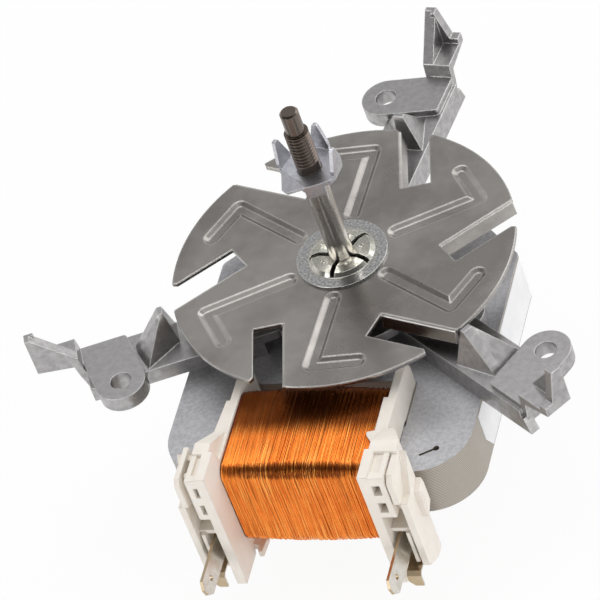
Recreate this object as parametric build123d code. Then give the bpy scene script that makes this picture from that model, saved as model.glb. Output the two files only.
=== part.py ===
from build123d import *
from math import atan2, cos, degrees, hypot, radians, sin, sqrt
import os

# An oven fan motor. Millimetres, +Z along the shaft towards the fan wheel, -Y towards the coil.
# The origin is on the shaft's axis, in the top plane of the three mounting lugs.

# Mounting lugs of the front bracket
lug_pcd = 120.0
lug_count = 3
lug_hole_d = 5.2
lug_angle = 93.6
lug_end_r = 6.1
lug_thickness = 4.0
lug_foot_len = 19.0
lug_corner_r = 1.0
lug_side_cw = -3.0

# Arms of the front bracket, each in its own frame turned back from its lug
arm_turn = -11.5
arm_start_r = 24.0
arm_end_r = 66.6
arm_side_cw = -3.8
arm_side_ccw = 9.8
arm_top_z = -1.8
arm_wall = 2.4
arm_roof = 2.2
arm_ccw_depth = 4.1
arm_hollow_start_r = 38.0
arm_toe_len = 2.3
arm_toe_lean = 0.8
fin_peak_r = 45.3
fin_peak_z = 8.0
fin_peak_len = 1.2
fin_peak_width = 2.5
fin_offset = 1.3
fin_base_in = 43.3
fin_base_out = 54.0
fin_base_cw = -3.0
fin_base_in_ccw = 3.2
fin_base_ccw = 9.2
fin_base_slant = 2.0

# Claw at each arm's end
claw_in_r = 67.4
claw_out_r = 77.6
claw_side_cw = -3.0
claw_side_ccw = 4.0
claw_floor_z = 3.6
claw_floor_thickness = 2.4
claw_wall = 2.3
claw_sill_z = 5.2
claw_prong_z = 13.4
claw_prong_width = 2.7
claw_prong_top_len = 1.2
claw_drop = 1.5

# Front bracket hub and its bearing seat
hub_plate_r = 22.0
hub_plate_thickness = 2.5
hub_boss_r = 11.0
hub_cavity_r = 9.0
hub_over_stack = 4.0
seat_lip = 2.0
seat_lip_gap = 0.4

# Stator stack
stack_height = 14.0
stack_top_z = -8.3
stack_half_width = 37.6
stack_back_y = 26.0
stack_side_back_y = 12.5
stack_back_half = 24.0
limb_inner_x = 20.8
limb_front_y = -56.0
lobe_front_r = 13.0
lobe_inner_r = 3.0
window_back_y = -27.6
window_corner_r = 1.0
bore_r = 13.7
core_width = 14.0
core_inset = 8.5
tongue_depth = 1.4
tongue_r = 5.0
slit_len = 4.2
slit_width = 0.6
slit_hole_r = 0.75
slit_x = 29.7
slit_y = -48.9
slit_angle = 29.6

# Shading rings in the pole faces
ring_wire = 1.5
ring_inner_r = 15.7
ring_outer_r = 20.3
ring_rise = 1.7
ring_angles = (22.0, 50.0)
pole_count = 2
ring_clearance = 0.1

# Long screws, nuts and rivets
screw_x = 29.0
screw_y = -10.0
screw_d = 4.0
screw_clearance = 0.15
screw_head_r = 3.6
screw_head_h = 2.3
screw_ear_r = 5.6
screw_thread_out = 1.5
screw_drive_r = 1.5
screw_drive_depth = 1.3
nut_flats = 7.0
nut_h = 3.2
rivet_x = 20.0
rivet_y = 20.5
rivet_d = 3.5
rivet_head_r = 3.0
rivet_head_h = 0.8
rivet_head_round = 0.5

# Bobbin and coil
bobbin_half = 20.5
flange_thickness = 2.0
flange_depth = 33.2
flange_before_limbs = 5.5
flange_over_stack = 8.3
flange_corner_r = 3.5
lip_in = 1.1
lip_out_back = 0.9
lip_out_front = 2.2
lip_height = 1.2
lip_out_height = 3.0
lip_back = 21.2
lip_front = 4.0
tube_wall = 1.3
tube_clearance = 0.2
coil_depth = 27.3
coil_before_flange = 0.8
coil_over_stack = 8.0
coil_under_stack = 3.9
coil_corner_r = 3.2
coil_crown = 0.4
coil_shoulder = 0.6
coil_shoulder_drop = 0.3
coil_clearance = 0.1

# Terminal towers in front of the coil's ends
tower_depth = 8.0
tower_over_flange = 5.0
tower_under_flange = 0.9
tower_wall = 2.4
tower_gap = 0.4
tower_upper_wall = 1.2
tower_outer_wall = 1.6
tower_outer_foot = 1.0
tower_back_wall = 1.6
tower_lip_drop = 4.3
tower_lip = 0.6
gusset_len = 11.5
gusset_flat = 3.5
gusset_out = 1.6
gusset_right_x = 26.2
gusset_left_x = 23.4
block_left_shift = 1.2
block_width = 3.7
block_wall = 1.3
block_plate = 2.4
block_height = 13.6
block_roof = 1.2
block_roof_drop = 0.9
window_w = 2.0
window_h = 3.2
window_drop = 2.9
window_side = 0.3
window_pitch = 5.8
shelf_drop = 15.0
shelf_thickness = 1.2
bump_out = 1.8
bump_drop = 5.7
bump_height = 8.8
bump_depth = 2.0
bump_edge = 0.6
horn_len = 3.0
horn_height = 1.6
horn_back = 9.5
horn_root = 5.0
hook_back = 5.5
hook_width = 6.0
hook_height = 1.8

# Terminals
tab_width = 4.8
tab_thickness = 0.8
tab_x = 22.7
tab_drop = 20.4
tab_reach = 12.1
tab_tip = 1.5
tab_hole_r = 0.7
tab_hole_back = 4.4
tab_lean = 17.0
clip_in_x = 22.4
clip_width = 3.5
clip_thickness = 0.5
clip_drop = 26.2
clip_reach = 1.9
clip_leg = 4.2
clip_bend_r = 0.9

# Label on the side of the stack
label_thickness = 0.15
label_back_y = 11.8
label_length = 50.8
label_height = 12.8
label_cut = 5.0

# Shaft, from the fan wheel's end down
shaft_d = 6.0
shaft_tip_z = 53.7
pilot_d = 4.5
pilot_bottom_z = 47.1
tip_chamfer = 0.5
thread_d = 5.85
thread_pitch = 1.0
thread_depth = 0.5
thread_crest = 0.2
thread_start_z = 38.0
star_seat_z = 34.2
flat_depth = 1.0
flat_top_z = 37.9
groove_d = 4.6
groove_width = 0.7
shaft_end_gap = 0.8

# Star driver
star_thickness = 1.2
star_plate_r = 7.6
star_up_angles = (162.0, 79.0, -8.0)
star_up_r = 7.3
star_up_height = 6.4
star_tab_width = 4.6
star_tip_width = 1.3
star_sheet = 0.9
star_lean = 6.0
star_leaf_angle = 228.0
star_leaf_r = 5.2
star_leaf_len = 3.4
star_leaf_width = 9.0
star_leaf_droop = 30.0
star_skirt_angle = 292.0
star_skirt_r = 6.5
star_skirt_height = 2.4
star_key_angle = 305.0
star_fit = 0.05

# Cooling disc
disc_r = 42.2
disc_top_z = 6.0
disc_thickness = 1.0
slot_count = 6
slot_angle = 43.1
fold_offset = 14.3
slot_width = 7.6
slot_inner = 18.9
vane_drop = 3.7
vane_flare = 1.3
tip_corner = 2.0
rib_inner_r = 14.0
rib_corner_r = 35.0
rib_end_r = 35.8
rib_inner_turn = -10.5
rib_corner_turn = -13.0
rib_end_turn = 5.0
rib_width = 4.2
rib_floor_width = 1.9
rib_depth = 0.8

# Plain washer under the disc, above the retaining clip
seat_washer_h = 0.8
seat_washer_r = 6.5
clip_ring_width = 1.6
clip_mouth = 3.2

# Hub washer on the disc
washer_r = 11.15
washer_thickness = 0.6
dome_r = 8.1
dome_height = 1.3
dome_top_r = 5.2
washer_slits = 5
washer_slit_angle = 49.0
washer_slit_width = 1.2
washer_slit_in = 3.6
dimple_r = 0.7
dimple_circle_r = 5.1

# Rotor
air_gap = 0.4
cage_inner_r = 7.0
cage_step = 0.2
cage_ring_h = 2.5
cage_bars = 12
bar_r = 1.1
bar_circle_r = 11.3
spacer_r = 5.0
thrust_h = 0.9
thrust_r = 5.6

# Bearings, felts and retainers
bearing_sphere_r = 6.5
bearing_len = 7.6
bearing_fit = 0.03
end_play = 0.3
felt_top_gap = 0.1
felt_side_gap = 0.1
felt_h = 3.0
retainer_h = 0.6
retainer_gap = 0.1

# Places that follow from the sizes above
disc_bottom_z = disc_top_z - disc_thickness
stack_bottom_z = stack_top_z - stack_height
stack_mid_z = (stack_top_z + stack_bottom_z) / 2
hub_plate_bottom_z = stack_top_z + hub_over_stack
hub_plate_top_z = hub_plate_bottom_z + hub_plate_thickness
lug_r = lug_pcd / 2
arm_bottom_z = stack_top_z
spacer_top_z = stack_top_z + cage_ring_h
thrust_top_z = spacer_top_z + thrust_h
bearing_bottom_z = thrust_top_z + end_play
bearing_mid_z = bearing_bottom_z + bearing_len / 2
boss_top_z = bearing_bottom_z + bearing_len - seat_lip_gap
cavity_top_z = boss_top_z - seat_lip
rotor_r = bore_r - air_gap
shaft_r = shaft_d / 2
core_mid_y = limb_front_y + core_inset
core_back_y = core_mid_y + core_width / 2
core_front_y = core_mid_y - core_width / 2
flange_inner_x = bobbin_half - flange_thickness
flange_front_y = limb_front_y - flange_before_limbs
flange_back_y = flange_front_y + flange_depth
flange_top_z = stack_top_z + flange_over_stack
flange_bottom_z = stack_bottom_z - flange_over_stack
coil_front_y = flange_front_y - coil_before_flange
coil_back_y = coil_front_y + coil_depth
coil_top_z = stack_top_z + coil_over_stack
coil_bottom_z = stack_bottom_z - coil_under_stack
tower_back_y = flange_front_y
tower_front_y = tower_back_y - tower_depth
tower_top_z = flange_top_z + tower_over_flange
tower_bottom_z = flange_bottom_z - tower_under_flange
tower_outer_bottom_z = flange_bottom_z + tower_outer_foot
tower_lip_z = flange_top_z - tower_lip_drop
gusset_back_y = flange_front_y + gusset_len
gusset_front_y = flange_front_y + gusset_flat
block_bottom_z = tower_top_z - block_height
window_top_z = tower_top_z - window_drop
shelf_z = flange_top_z - shelf_drop
bump_top_z = flange_top_z - bump_drop
bump_bottom_z = bump_top_z - bump_height
bump_front_y = flange_front_y - bump_depth
horn_y = flange_front_y + horn_back
hook_back_y = flange_front_y + hook_back
tab_z = flange_top_z - tab_drop
tab_tip_y = tower_front_y - tab_reach
clip_z = flange_top_z - clip_drop
clip_front_y = tower_front_y - clip_reach
clip_bottom_z = clip_z - clip_leg
label_front_y = label_back_y - label_length
disc_seat_z = disc_bottom_z - seat_washer_h
block_in_x = flange_inner_x + tower_wall
block_out_x = block_in_x + block_width
tower_upper_in = block_out_x + tower_gap
tower_outer_in = tower_upper_in + tower_upper_wall
tower_outer_x = tower_outer_in + tower_outer_wall


def lug_angles():
    """The three lugs' directions about the shaft, in degrees."""
    return [lug_angle + 360.0 * k / lug_count for k in range(lug_count)]


def prism(points, depth, plane):
    """A closed outline on a plane, pushed along the plane's normal."""
    return extrude(plane * make_face(Polyline(*points, close=True)), depth)


def box(x0, x1, y0, y1, z0, z1):
    """A box between two corners."""
    return Pos((x0 + x1) / 2, (y0 + y1) / 2, (z0 + z1) / 2) * Box(x1 - x0, y1 - y0, z1 - z0)


def rod(radius, z0, z1, x=0.0, y=0.0):
    """An upright cylinder between two heights."""
    return Pos(x, y, (z0 + z1) / 2) * Cylinder(radius, z1 - z0)


def turned(points):
    """A solid of revolution about the shaft's axis from (radius, height) points."""
    return revolve(Plane.XZ * make_face(Polyline(*points, close=True)), Axis.Z)


def mirrored(shape):
    """The same piece at the other end of the stack."""
    return mirror(shape, Plane.XY.offset(stack_mid_z))


def side_plane(y):
    """A plane whose local x is +X, local y is +Z and normal is -Y."""
    return Plane(origin=(0, y, 0), x_dir=(1, 0, 0), z_dir=(0, -1, 0))


def arm_profile(points, side_low, side_high):
    """A radius and height outline in the arm's frame, spread between two sides."""
    return prism(points, side_high - side_low, side_plane(side_high))


def arm_beam():
    """The beam from the hub to the lug, open below."""
    beam = box(arm_start_r - 4, arm_end_r, arm_side_cw, arm_side_ccw, arm_bottom_z, arm_top_z)
    beam -= box(arm_start_r - 5, arm_start_r, arm_side_cw - 1, arm_side_ccw + 1,
                arm_bottom_z - 1, hub_plate_bottom_z)
    hollow = box(arm_hollow_start_r, arm_end_r + 1, arm_side_cw + arm_wall, arm_side_ccw - arm_wall,
                 arm_bottom_z - 1, arm_top_z - arm_roof)
    beam -= hollow
    beam -= box(arm_hollow_start_r, arm_end_r + 1, arm_side_cw + arm_wall, arm_side_ccw + 1,
                arm_bottom_z - 1, arm_top_z - arm_ccw_depth)
    return beam


def arm_toe():
    """The short tip that the beam's outer wall has under the claw."""
    return arm_profile([(arm_end_r - 1, arm_bottom_z), (arm_end_r + arm_toe_len, arm_bottom_z),
                        (arm_end_r + arm_toe_lean, -lug_thickness), (arm_end_r - 1, -lug_thickness)],
                       arm_side_cw, arm_side_cw + arm_wall)


def arm_fin():
    """The fin on the beam: a ridge of even width slopes down to the lug, and one side spreads below it."""
    ridge_cw = fin_offset - fin_peak_width / 2
    ridge_ccw = fin_offset + fin_peak_width / 2
    peak_in = fin_peak_r - fin_peak_len / 2
    peak_out = fin_peak_r + fin_peak_len / 2
    foot = make_face(Polyline((fin_base_in, fin_base_cw), (fin_base_out, ridge_cw), (fin_base_out, ridge_ccw),
                              (fin_base_out - fin_base_slant, fin_base_ccw), (fin_base_in, fin_base_in_ccw),
                              close=True))
    peak = make_face(Polyline((peak_in, ridge_cw), (peak_out, ridge_cw), (peak_out, ridge_ccw),
                              (fin_peak_r, ridge_ccw + 0.1), (peak_in, ridge_ccw), close=True))
    return loft([Pos(0, 0, arm_top_z) * foot, Pos(0, 0, fin_peak_z) * peak], ruled=True)


def claw():
    """The claw: a floor with an outer wall and a rising prong."""
    floor_bottom = claw_floor_z - claw_floor_thickness
    wall_in = claw_out_r - claw_wall
    body = arm_profile([(claw_in_r - 1.2, -lug_thickness), (claw_in_r - 0.4, 0.0), (claw_in_r, claw_floor_z),
                        (wall_in, claw_floor_z), (wall_in, claw_sill_z), (claw_out_r, claw_sill_z),
                        (claw_out_r, floor_bottom + claw_drop), (claw_in_r + 1.6, floor_bottom),
                        (claw_in_r + 1.1, floor_bottom - 3.0), (claw_in_r, arm_bottom_z + 2.0)],
                       claw_side_cw, claw_side_ccw)
    prong_cw = claw_side_ccw - claw_prong_width
    prong = arm_profile([(claw_in_r + 0.1, claw_floor_z), (claw_out_r - claw_prong_top_len, claw_prong_z),
                         (claw_out_r, claw_prong_z), (claw_out_r, claw_floor_z)], prong_cw, claw_side_ccw)
    ramp_plane = Plane(origin=(wall_in, 0, 0), x_dir=(0, 1, 0), z_dir=(1, 0, 0))
    ramp = prism([(prong_cw, claw_prong_z), (prong_cw + 1, claw_prong_z), (prong_cw + 1, claw_floor_z),
                  (claw_side_cw, claw_floor_z), (prong_cw - 2.1, claw_sill_z)], claw_wall, ramp_plane)
    return body + prong + ramp


def lug():
    """The flat lug in its hole's frame, its foot cut along the beam."""
    foot = Pos(lug_r, -lug_foot_len / 2) * Rectangle(2 * lug_end_r, lug_foot_len)
    plate = extrude(foot + Pos(lug_r, 0) * Circle(lug_end_r), -lug_thickness)
    beyond = box(0, 2 * lug_r, lug_side_cw - lug_foot_len, lug_side_cw, -lug_thickness - 1, 1)
    plate -= Rot(0, 0, arm_turn) * beyond
    corner = plate.edges().filter_by(Axis.Z).sort_by(lambda e: e.center().Y)[:2]
    return fillet(corner, lug_corner_r)


def bearing_housing():
    """Hub plate and boss with a seat for the bearing's ball and a cavity for its felt."""
    body = turned([(hub_cavity_r, hub_plate_bottom_z), (hub_plate_r, hub_plate_bottom_z),
                   (hub_plate_r, hub_plate_top_z), (hub_boss_r + 1.2, hub_plate_top_z),
                   (hub_boss_r, hub_plate_top_z + 1.2), (hub_boss_r - 0.6, boss_top_z), (0.1, boss_top_z),
                   (0.1, cavity_top_z), (hub_cavity_r, cavity_top_z)])
    ball = Pos(0, 0, bearing_mid_z) * Sphere(bearing_sphere_r)
    return body - ball - rod(bearing_sphere_r * 0.75, cavity_top_z - 1, boss_top_z + 1)


def screw_places():
    """The two screws' places, right and left."""
    return [(screw_x, screw_y), (-screw_x, screw_y)]


def front_bracket():
    """The cast bracket that carries the front bearing and hangs the motor on the oven's wall."""
    body = bearing_housing()
    for x, y in screw_places():
        body += rod(screw_ear_r, stack_top_z, hub_plate_bottom_z, x, y)
        link = Pos(x / 2, y / 2) * Rot(0, 0, degrees(atan2(y, x))) * Rectangle(hypot(x, y), 2 * screw_ear_r)
        web = extrude(Pos(0, 0, hub_plate_bottom_z - 1.0) * link, hub_plate_thickness - 0.7)
        body += web - rod(hub_plate_r - 1, hub_plate_bottom_z - 3, hub_plate_bottom_z + 3)
        body += rod(screw_ear_r, hub_plate_bottom_z - 1, hub_plate_bottom_z, x, y)
    for angle in lug_angles():
        arm = arm_beam() + arm_toe() + arm_fin() + claw()
        body += Rot(0, 0, angle + arm_turn) * arm
        body += Rot(0, 0, angle) * lug()
        body -= Rot(0, 0, angle) * rod(lug_hole_d / 2, stack_top_z - 1, 1, lug_r)
    for x, y in screw_places():
        body -= rod(screw_d / 2 + screw_clearance, stack_top_z - 1, hub_plate_top_z + 5, x, y)
        body -= rod(screw_head_r + 0.6, hub_plate_bottom_z, hub_plate_top_z + 5, x, y)
    return body


def rear_bracket():
    """The cast bridge that carries the rear bearing."""
    body = bearing_housing()
    half_plan = hub_plate_r - 4.0
    keep = rod(half_plan, hub_plate_bottom_z - 1, boss_top_z + 1)
    body = body & keep
    for x, y in screw_places():
        ends = Pos(x, y) * Circle(screw_ear_r)
        link = Pos(x / 2, y / 2) * Rot(0, 0, degrees(atan2(y, x))) * Rectangle(hypot(x, y), 2 * screw_ear_r)
        bar = extrude(Pos(0, 0, hub_plate_bottom_z) * (ends + link), hub_plate_thickness)
        body += bar - rod(hub_cavity_r, hub_plate_bottom_z - 1, hub_plate_top_z + 1)
        body += rod(screw_ear_r, stack_top_z, hub_plate_bottom_z, x, y)
    for x, y in screw_places():
        body -= rod(screw_d / 2 + screw_clearance, stack_top_z - 1, hub_plate_top_z + 5, x, y)
    ball = Pos(0, 0, bearing_mid_z) * Sphere(bearing_sphere_r)
    return mirrored(body - ball)


def stack_outline():
    """The stamped outline of the laminations, with two limbs and round lobes."""
    outer = make_face(Polyline((-stack_back_half, stack_back_y), (stack_back_half, stack_back_y),
                               (stack_half_width, stack_side_back_y), (stack_half_width, limb_front_y),
                               (-stack_half_width, limb_front_y), (-stack_half_width, stack_side_back_y),
                               close=True))
    front = outer.vertices().filter_by(lambda v: abs(v.Y - limb_front_y) < 0.01)
    outer = fillet(front, lobe_front_r)
    back = outer.vertices().filter_by(lambda v: v.Y > stack_side_back_y - 0.01)
    outer = fillet(back, 2.0)
    window_depth = window_back_y - limb_front_y + lobe_front_r
    mid_y = window_back_y - window_depth / 2
    window = Pos(0, mid_y) * RectangleRounded(2 * limb_inner_x, window_depth, window_corner_r)
    outer -= window
    front = outer.vertices().filter_by(lambda v: abs(v.Y - limb_front_y) < 0.01)
    return fillet(front.filter_by(lambda v: abs(v.X) < limb_inner_x + 0.01), lobe_inner_r)


def core_outline(grow=0.0):
    """The bar through the coil, with round tongues that seat in the limbs."""
    length = 2 * (limb_inner_x + tongue_depth + grow)
    return Pos(0, core_mid_y) * RectangleRounded(length, core_width + 2 * grow, tongue_r)


def ring_legs():
    """Polar places of the shading rings' legs."""
    return [angle + 360.0 * pole / pole_count for pole in range(pole_count) for angle in ring_angles]


def stator_core():
    """The stack of laminations."""
    body = extrude(Pos(0, 0, stack_bottom_z) * stack_outline(), stack_height)
    body -= rod(bore_r, stack_bottom_z - 1, stack_top_z + 1)
    body -= extrude(Pos(0, 0, stack_bottom_z) * core_outline(), stack_height)
    for x, y in screw_places():
        body -= rod(screw_d / 2 + screw_clearance, stack_bottom_z - 1, stack_top_z + 1, x, y)
    for side in (-1, 1):
        body -= rod(rivet_d / 2, stack_bottom_z - 1, stack_top_z + 1, side * rivet_x, rivet_y)
        slit = Pos(side * slit_x, slit_y, stack_mid_z) * Rot(0, 0, side * slit_angle)
        body -= slit * Pos(-side * slit_len / 2, 0) * Box(slit_len, slit_width, stack_height + 2)
        body -= rod(slit_hole_r, stack_bottom_z - 1, stack_top_z + 1, side * slit_x, slit_y)
    for angle in ring_legs():
        body -= Rot(0, 0, angle) * ring_slots()
    return body


def ring_slots():
    """The two slots that one shading ring passes through."""
    size = ring_wire + 2 * ring_clearance
    slots = Compound([])
    for radius in (ring_inner_r, ring_outer_r):
        slots += Pos(radius, 0, stack_mid_z) * Box(size, size, stack_height + 2)
    return slots


def shading_ring():
    """One loop of square copper bar round a part of the pole."""
    height = stack_height + 2 * ring_rise
    outer = Rectangle(ring_outer_r - ring_inner_r + ring_wire, height)
    inner = Rectangle(ring_outer_r - ring_inner_r - ring_wire, height - 2 * ring_wire)
    mid = (ring_outer_r + ring_inner_r) / 2
    return extrude(side_plane(ring_wire / 2) * Pos(mid, stack_mid_z) * (outer - inner), ring_wire)


def shading_rings():
    return Compound([Rot(0, 0, angle) * shading_ring() for angle in ring_legs()])


def bracket_screws():
    """Two long screws from the front ears to the rear bridge."""
    ear_top = hub_plate_bottom_z
    end_z = stack_bottom_z - hub_over_stack - hub_plate_thickness - nut_h - screw_thread_out
    screws = []
    for x, y in screw_places():
        screw = rod(screw_d / 2, end_z, ear_top, x, y)
        head = rod(screw_head_r, ear_top, ear_top + screw_head_h, x, y)
        head = fillet(head.edges().group_by(Axis.Z)[-1], 0.9)
        top = ear_top + screw_head_h
        drive = extrude(RegularPolygon(screw_drive_r, 6), screw_drive_depth + 1)
        screws.append(screw + head - Pos(x, y, top - screw_drive_depth) * drive)
    return Compound(screws)


def bracket_nuts():
    """Hexagon nuts on the rear bridge."""
    top = stack_bottom_z - hub_over_stack - hub_plate_thickness
    nuts = []
    for x, y in screw_places():
        hexagon = RegularPolygon(nut_flats / sqrt(3), 6)
        nut = Pos(x, y, top - nut_h) * extrude(hexagon, nut_h)
        nuts.append(nut - rod(screw_d / 2, top - nut_h - 1, top + 1, x, y))
    return Compound(nuts)


def rivet_head(x):
    """One rounded rivet head on the stack's upper face."""
    head = rod(rivet_head_r, stack_top_z, stack_top_z + rivet_head_h, x, rivet_y)
    return fillet(head.edges().group_by(Axis.Z)[-1], rivet_head_round)


def stack_rivets():
    """Rivets through the back of the stack, headed on both faces."""
    rivets = []
    for x in (-rivet_x, rivet_x):
        head = rivet_head(x)
        rivets.append(rod(rivet_d / 2, stack_bottom_z, stack_top_z, x, rivet_y) + head + mirrored(head))
    return Compound(rivets)


def coil_core():
    """The laminated bar inside the bobbin."""
    return extrude(Pos(0, 0, stack_bottom_z) * core_outline(), stack_height)


def coil_section(grow=0.0):
    """The winding's outer section in the Y and Z plane."""
    plane = Plane(origin=(0, 0, 0), x_dir=(0, 1, 0), z_dir=(1, 0, 0))
    mid_y = (coil_back_y + coil_front_y) / 2
    mid_z = (coil_top_z + coil_bottom_z) / 2
    width = coil_back_y - coil_front_y + 2 * grow
    height = coil_top_z - coil_bottom_z + 2 * grow
    return plane * Pos(mid_y, mid_z) * RectangleRounded(width, height, coil_corner_r)


def coil():
    """The winding, slightly crowned in the middle of its length."""
    half = flange_inner_x
    near = half * coil_shoulder
    drop = coil_crown * coil_shoulder_drop
    places = ((-half, -coil_crown), (-near, -drop), (0.0, 0.0), (near, -drop), (half, -coil_crown))
    sections = [Pos(x, 0, 0) * coil_section(grow) for x, grow in places]
    gap = coil_clearance
    winding = loft(sections) - tube_box(tube_wall, half + 1)
    winding -= inner_lip(gap)
    return winding - box(half - horn_len - gap, half + 1, horn_y - horn_root - gap, horn_y + 2.0 + gap,
                         flange_top_z - horn_height - gap, coil_top_z + 1)


def tube_box(wall, half):
    """The outside of the bobbin's tube round the core bar."""
    gap = tube_clearance + wall
    return box(-half, half, core_front_y - gap, core_back_y + gap, stack_bottom_z - gap, stack_top_z + gap)


def flange():
    """One plain flange in the right-hand place."""
    plane = Plane(origin=(flange_inner_x, 0, 0), x_dir=(0, 1, 0), z_dir=(1, 0, 0))
    mid_y = (flange_back_y + flange_front_y) / 2
    mid_z = (flange_top_z + flange_bottom_z) / 2
    face = RectangleRounded(flange_depth, flange_top_z - flange_bottom_z, flange_corner_r)
    return extrude(plane * Pos(mid_y, mid_z) * face, flange_thickness)


def inner_lip(grow=0.0):
    """The right flange's rim over the winding's end."""
    return box(flange_inner_x - lip_in - grow, flange_inner_x + 1, flange_front_y + lip_front - grow,
               flange_front_y + lip_back + grow, flange_top_z - lip_height - grow, flange_top_z)


def outer_lip():
    """The left flange's rim over the limb, wider towards the front."""
    x = -bobbin_half
    front = flange_front_y + lip_front
    back = flange_front_y + lip_back
    return prism([(x + 1, front), (x - lip_out_front, front), (x - lip_out_back, back), (x + 1, back)],
                 -lip_out_height, Plane.XY.offset(flange_top_z))


def horn():
    """The small horn over the winding's right end that keeps the wire in place."""
    x = flange_inner_x
    return prism([(x + 1, horn_y + 2.0), (x - horn_len, horn_y + 1.0), (x - horn_len + 0.2, horn_y),
                  (x + 1, horn_y - horn_root)], -horn_height, Plane.XY.offset(flange_top_z))


def side_prism(points, x, depth):
    """A (y, z) outline pushed along +X from the given x."""
    plane = Plane(origin=(x, 0, 0), x_dir=(0, 1, 0), z_dir=(1, 0, 0))
    return extrude(plane * make_face(Polyline(*points, close=True)), depth)


def tower_walls():
    """The tower's inner wall, stepped outer wall and back wall."""
    front = tower_front_y
    back = flange_front_y
    inner = side_prism([(back + 3, flange_top_z - 1), (back + 0.8, tower_top_z), (front, tower_top_z),
                        (front, tower_bottom_z), (back + 1.2, tower_bottom_z),
                        (back + 3, flange_bottom_z + 3)], flange_inner_x, tower_wall)
    rim = tower_top_z - 0.8
    upper = side_prism([(back + 3, rim), (front + 1.5, rim), (front, rim - 1.6), (front, tower_lip_z),
                        (back + 3, tower_lip_z - 6)], tower_upper_in, tower_upper_wall + 0.1)
    ledge = tower_lip_z - tower_lip
    outer = side_prism([(back + 1.5, tower_top_z - 1.5), (front + 4, ledge), (front + tower_lip, ledge),
                        (front + tower_lip, tower_outer_bottom_z + 3.5), (front + 6, tower_outer_bottom_z),
                        (back + 1.5, tower_outer_bottom_z)], tower_outer_in, tower_outer_wall)
    outer += upper
    wall_top = tower_top_z - 2.0
    rear = box(flange_inner_x, tower_outer_in + 0.5, back, back + tower_back_wall,
               tower_outer_bottom_z + 1.0, wall_top)
    return inner + outer + rear


def tower_gusset(reach):
    """The shoulder that widens from the flange to the tower, rising forwards."""
    x = flange_inner_x + 1
    plan = prism([(x, gusset_back_y), (bobbin_half + gusset_out, gusset_back_y),
                  (reach, gusset_front_y), (reach, tower_back_y), (x, tower_back_y)],
                 tower_top_z - bump_top_z, Plane.XY.offset(bump_top_z))
    rise = side_prism([(gusset_back_y, flange_top_z), (gusset_front_y, tower_top_z),
                       (tower_back_y, tower_top_z), (tower_back_y, bump_top_z),
                       (gusset_back_y, bump_top_z)], flange_inner_x, tower_outer_x)
    return plan & rise


def tower_block():
    """The hollow block with two windows, its roof sunk a little behind the front plate."""
    front = tower_front_y
    top = tower_top_z
    roof = top - block_roof_drop
    block = box(block_in_x - 0.5, block_out_x, front, tower_back_y, block_bottom_z, top - 0.3)
    block -= box(block_in_x, block_out_x - block_wall, front + block_plate, tower_back_y,
                 block_bottom_z + block_roof, roof - block_roof)
    block -= box(block_in_x, block_out_x - block_wall, front + block_plate, tower_back_y, roof, top + 1)
    behind = front + block_plate + 0.1
    corner = [(front + 1.2, top), (behind, top), (behind, roof)]
    block -= side_prism(corner, block_in_x, block_width - block_wall)
    low_x = block_in_x + window_side
    for k in range(2):
        head = window_top_z - k * window_pitch
        block -= box(low_x, low_x + window_w, front - 1, front + block_plate + 1, head - window_h, head)
    web = box(block_out_x - 0.5, tower_outer_in - 0.5, front + 2.6, front + 3.8, block_bottom_z, top - 1.6)
    return block + web


def tower_shelves():
    """The shelf over the blade, the floor under the clip and the rib between them."""
    back = tower_back_y
    shelf = box(flange_inner_x + 1, tower_outer_x - 1, tower_front_y + 2.4, back,
                shelf_z - shelf_thickness, shelf_z)
    floor = box(flange_inner_x + 1, tower_outer_x - 1, tower_front_y + 3.4, back,
                tower_outer_bottom_z + 0.6, tower_outer_bottom_z + 1.8)
    rib_x = tab_x + 1.9
    rib = box(rib_x, rib_x + 0.9, tower_front_y + 1.2, back, clip_z + 0.6, shelf_z - 0.5)
    return shelf + floor + rib


def tower_bump():
    """The raised pad on the outer wall."""
    pad = side_prism([(flange_front_y + 1.5, bump_top_z), (bump_front_y, bump_top_z - 1.2),
                      (bump_front_y, bump_bottom_z - bump_edge), (flange_front_y + 1.5, bump_bottom_z + 1.5)],
                     tower_outer_x - 0.5, bump_out + 0.5)
    return chamfer(pad.faces().sort_by(Axis.X)[-1].edges(), bump_edge)


def hook():
    """The small hook at the flange's bottom, on the winding's side."""
    root = flange_inner_x + 1
    point = flange_inner_x - horn_len
    y = hook_back_y
    end = y - hook_width
    plan = [(root, y + 1.0), (point + 0.6, y), (point, y - 1.0), (point + 0.3, end), (point + 1.3, end),
            (point + 1.8, end + 2.0), (root, end + 2.5)]
    return prism(plan, hook_height, Plane.XY.offset(flange_bottom_z))


def bobbin_end(gusset_x, block_shift):
    """One flange with its tower, in the right-hand place."""
    end = flange() + tower_walls() + tower_gusset(gusset_x) + Pos(-block_shift, 0, 0) * tower_block()
    return end + tower_shelves() + tower_bump() + hook()


def bobbin():
    """The moulded bobbin: its two towers differ a little, and only the right flange has a horn."""
    body = tube_box(tube_wall, flange_inner_x + 0.5)
    body += bobbin_end(gusset_right_x, 0.0) + inner_lip() + horn()
    body += mirror(bobbin_end(gusset_left_x, block_left_shift), Plane.YZ) + outer_lip()
    return body - tube_box(0.0, bobbin_half + 1)


def terminal_tab(side):
    """A pointed blade with a hole, standing nearly on edge and pointing forwards out of its tower."""
    half = tab_width / 2
    root = tower_back_y
    tip = tab_tip_y
    face = side_prism([(root, -half), (tip + tab_tip, -half), (tip, -half + tab_tip), (tip, half - tab_tip),
                       (tip + tab_tip, half), (root, half)], -tab_thickness / 2, tab_thickness)
    hole = Pos(0, tip + tab_hole_back, 0) * Rot(0, 90, 0) * Cylinder(tab_hole_r, 4 * tab_thickness)
    return Pos(side * tab_x, 0, tab_z) * Rot(0, -tab_lean, 0) * (face - hole)


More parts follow.
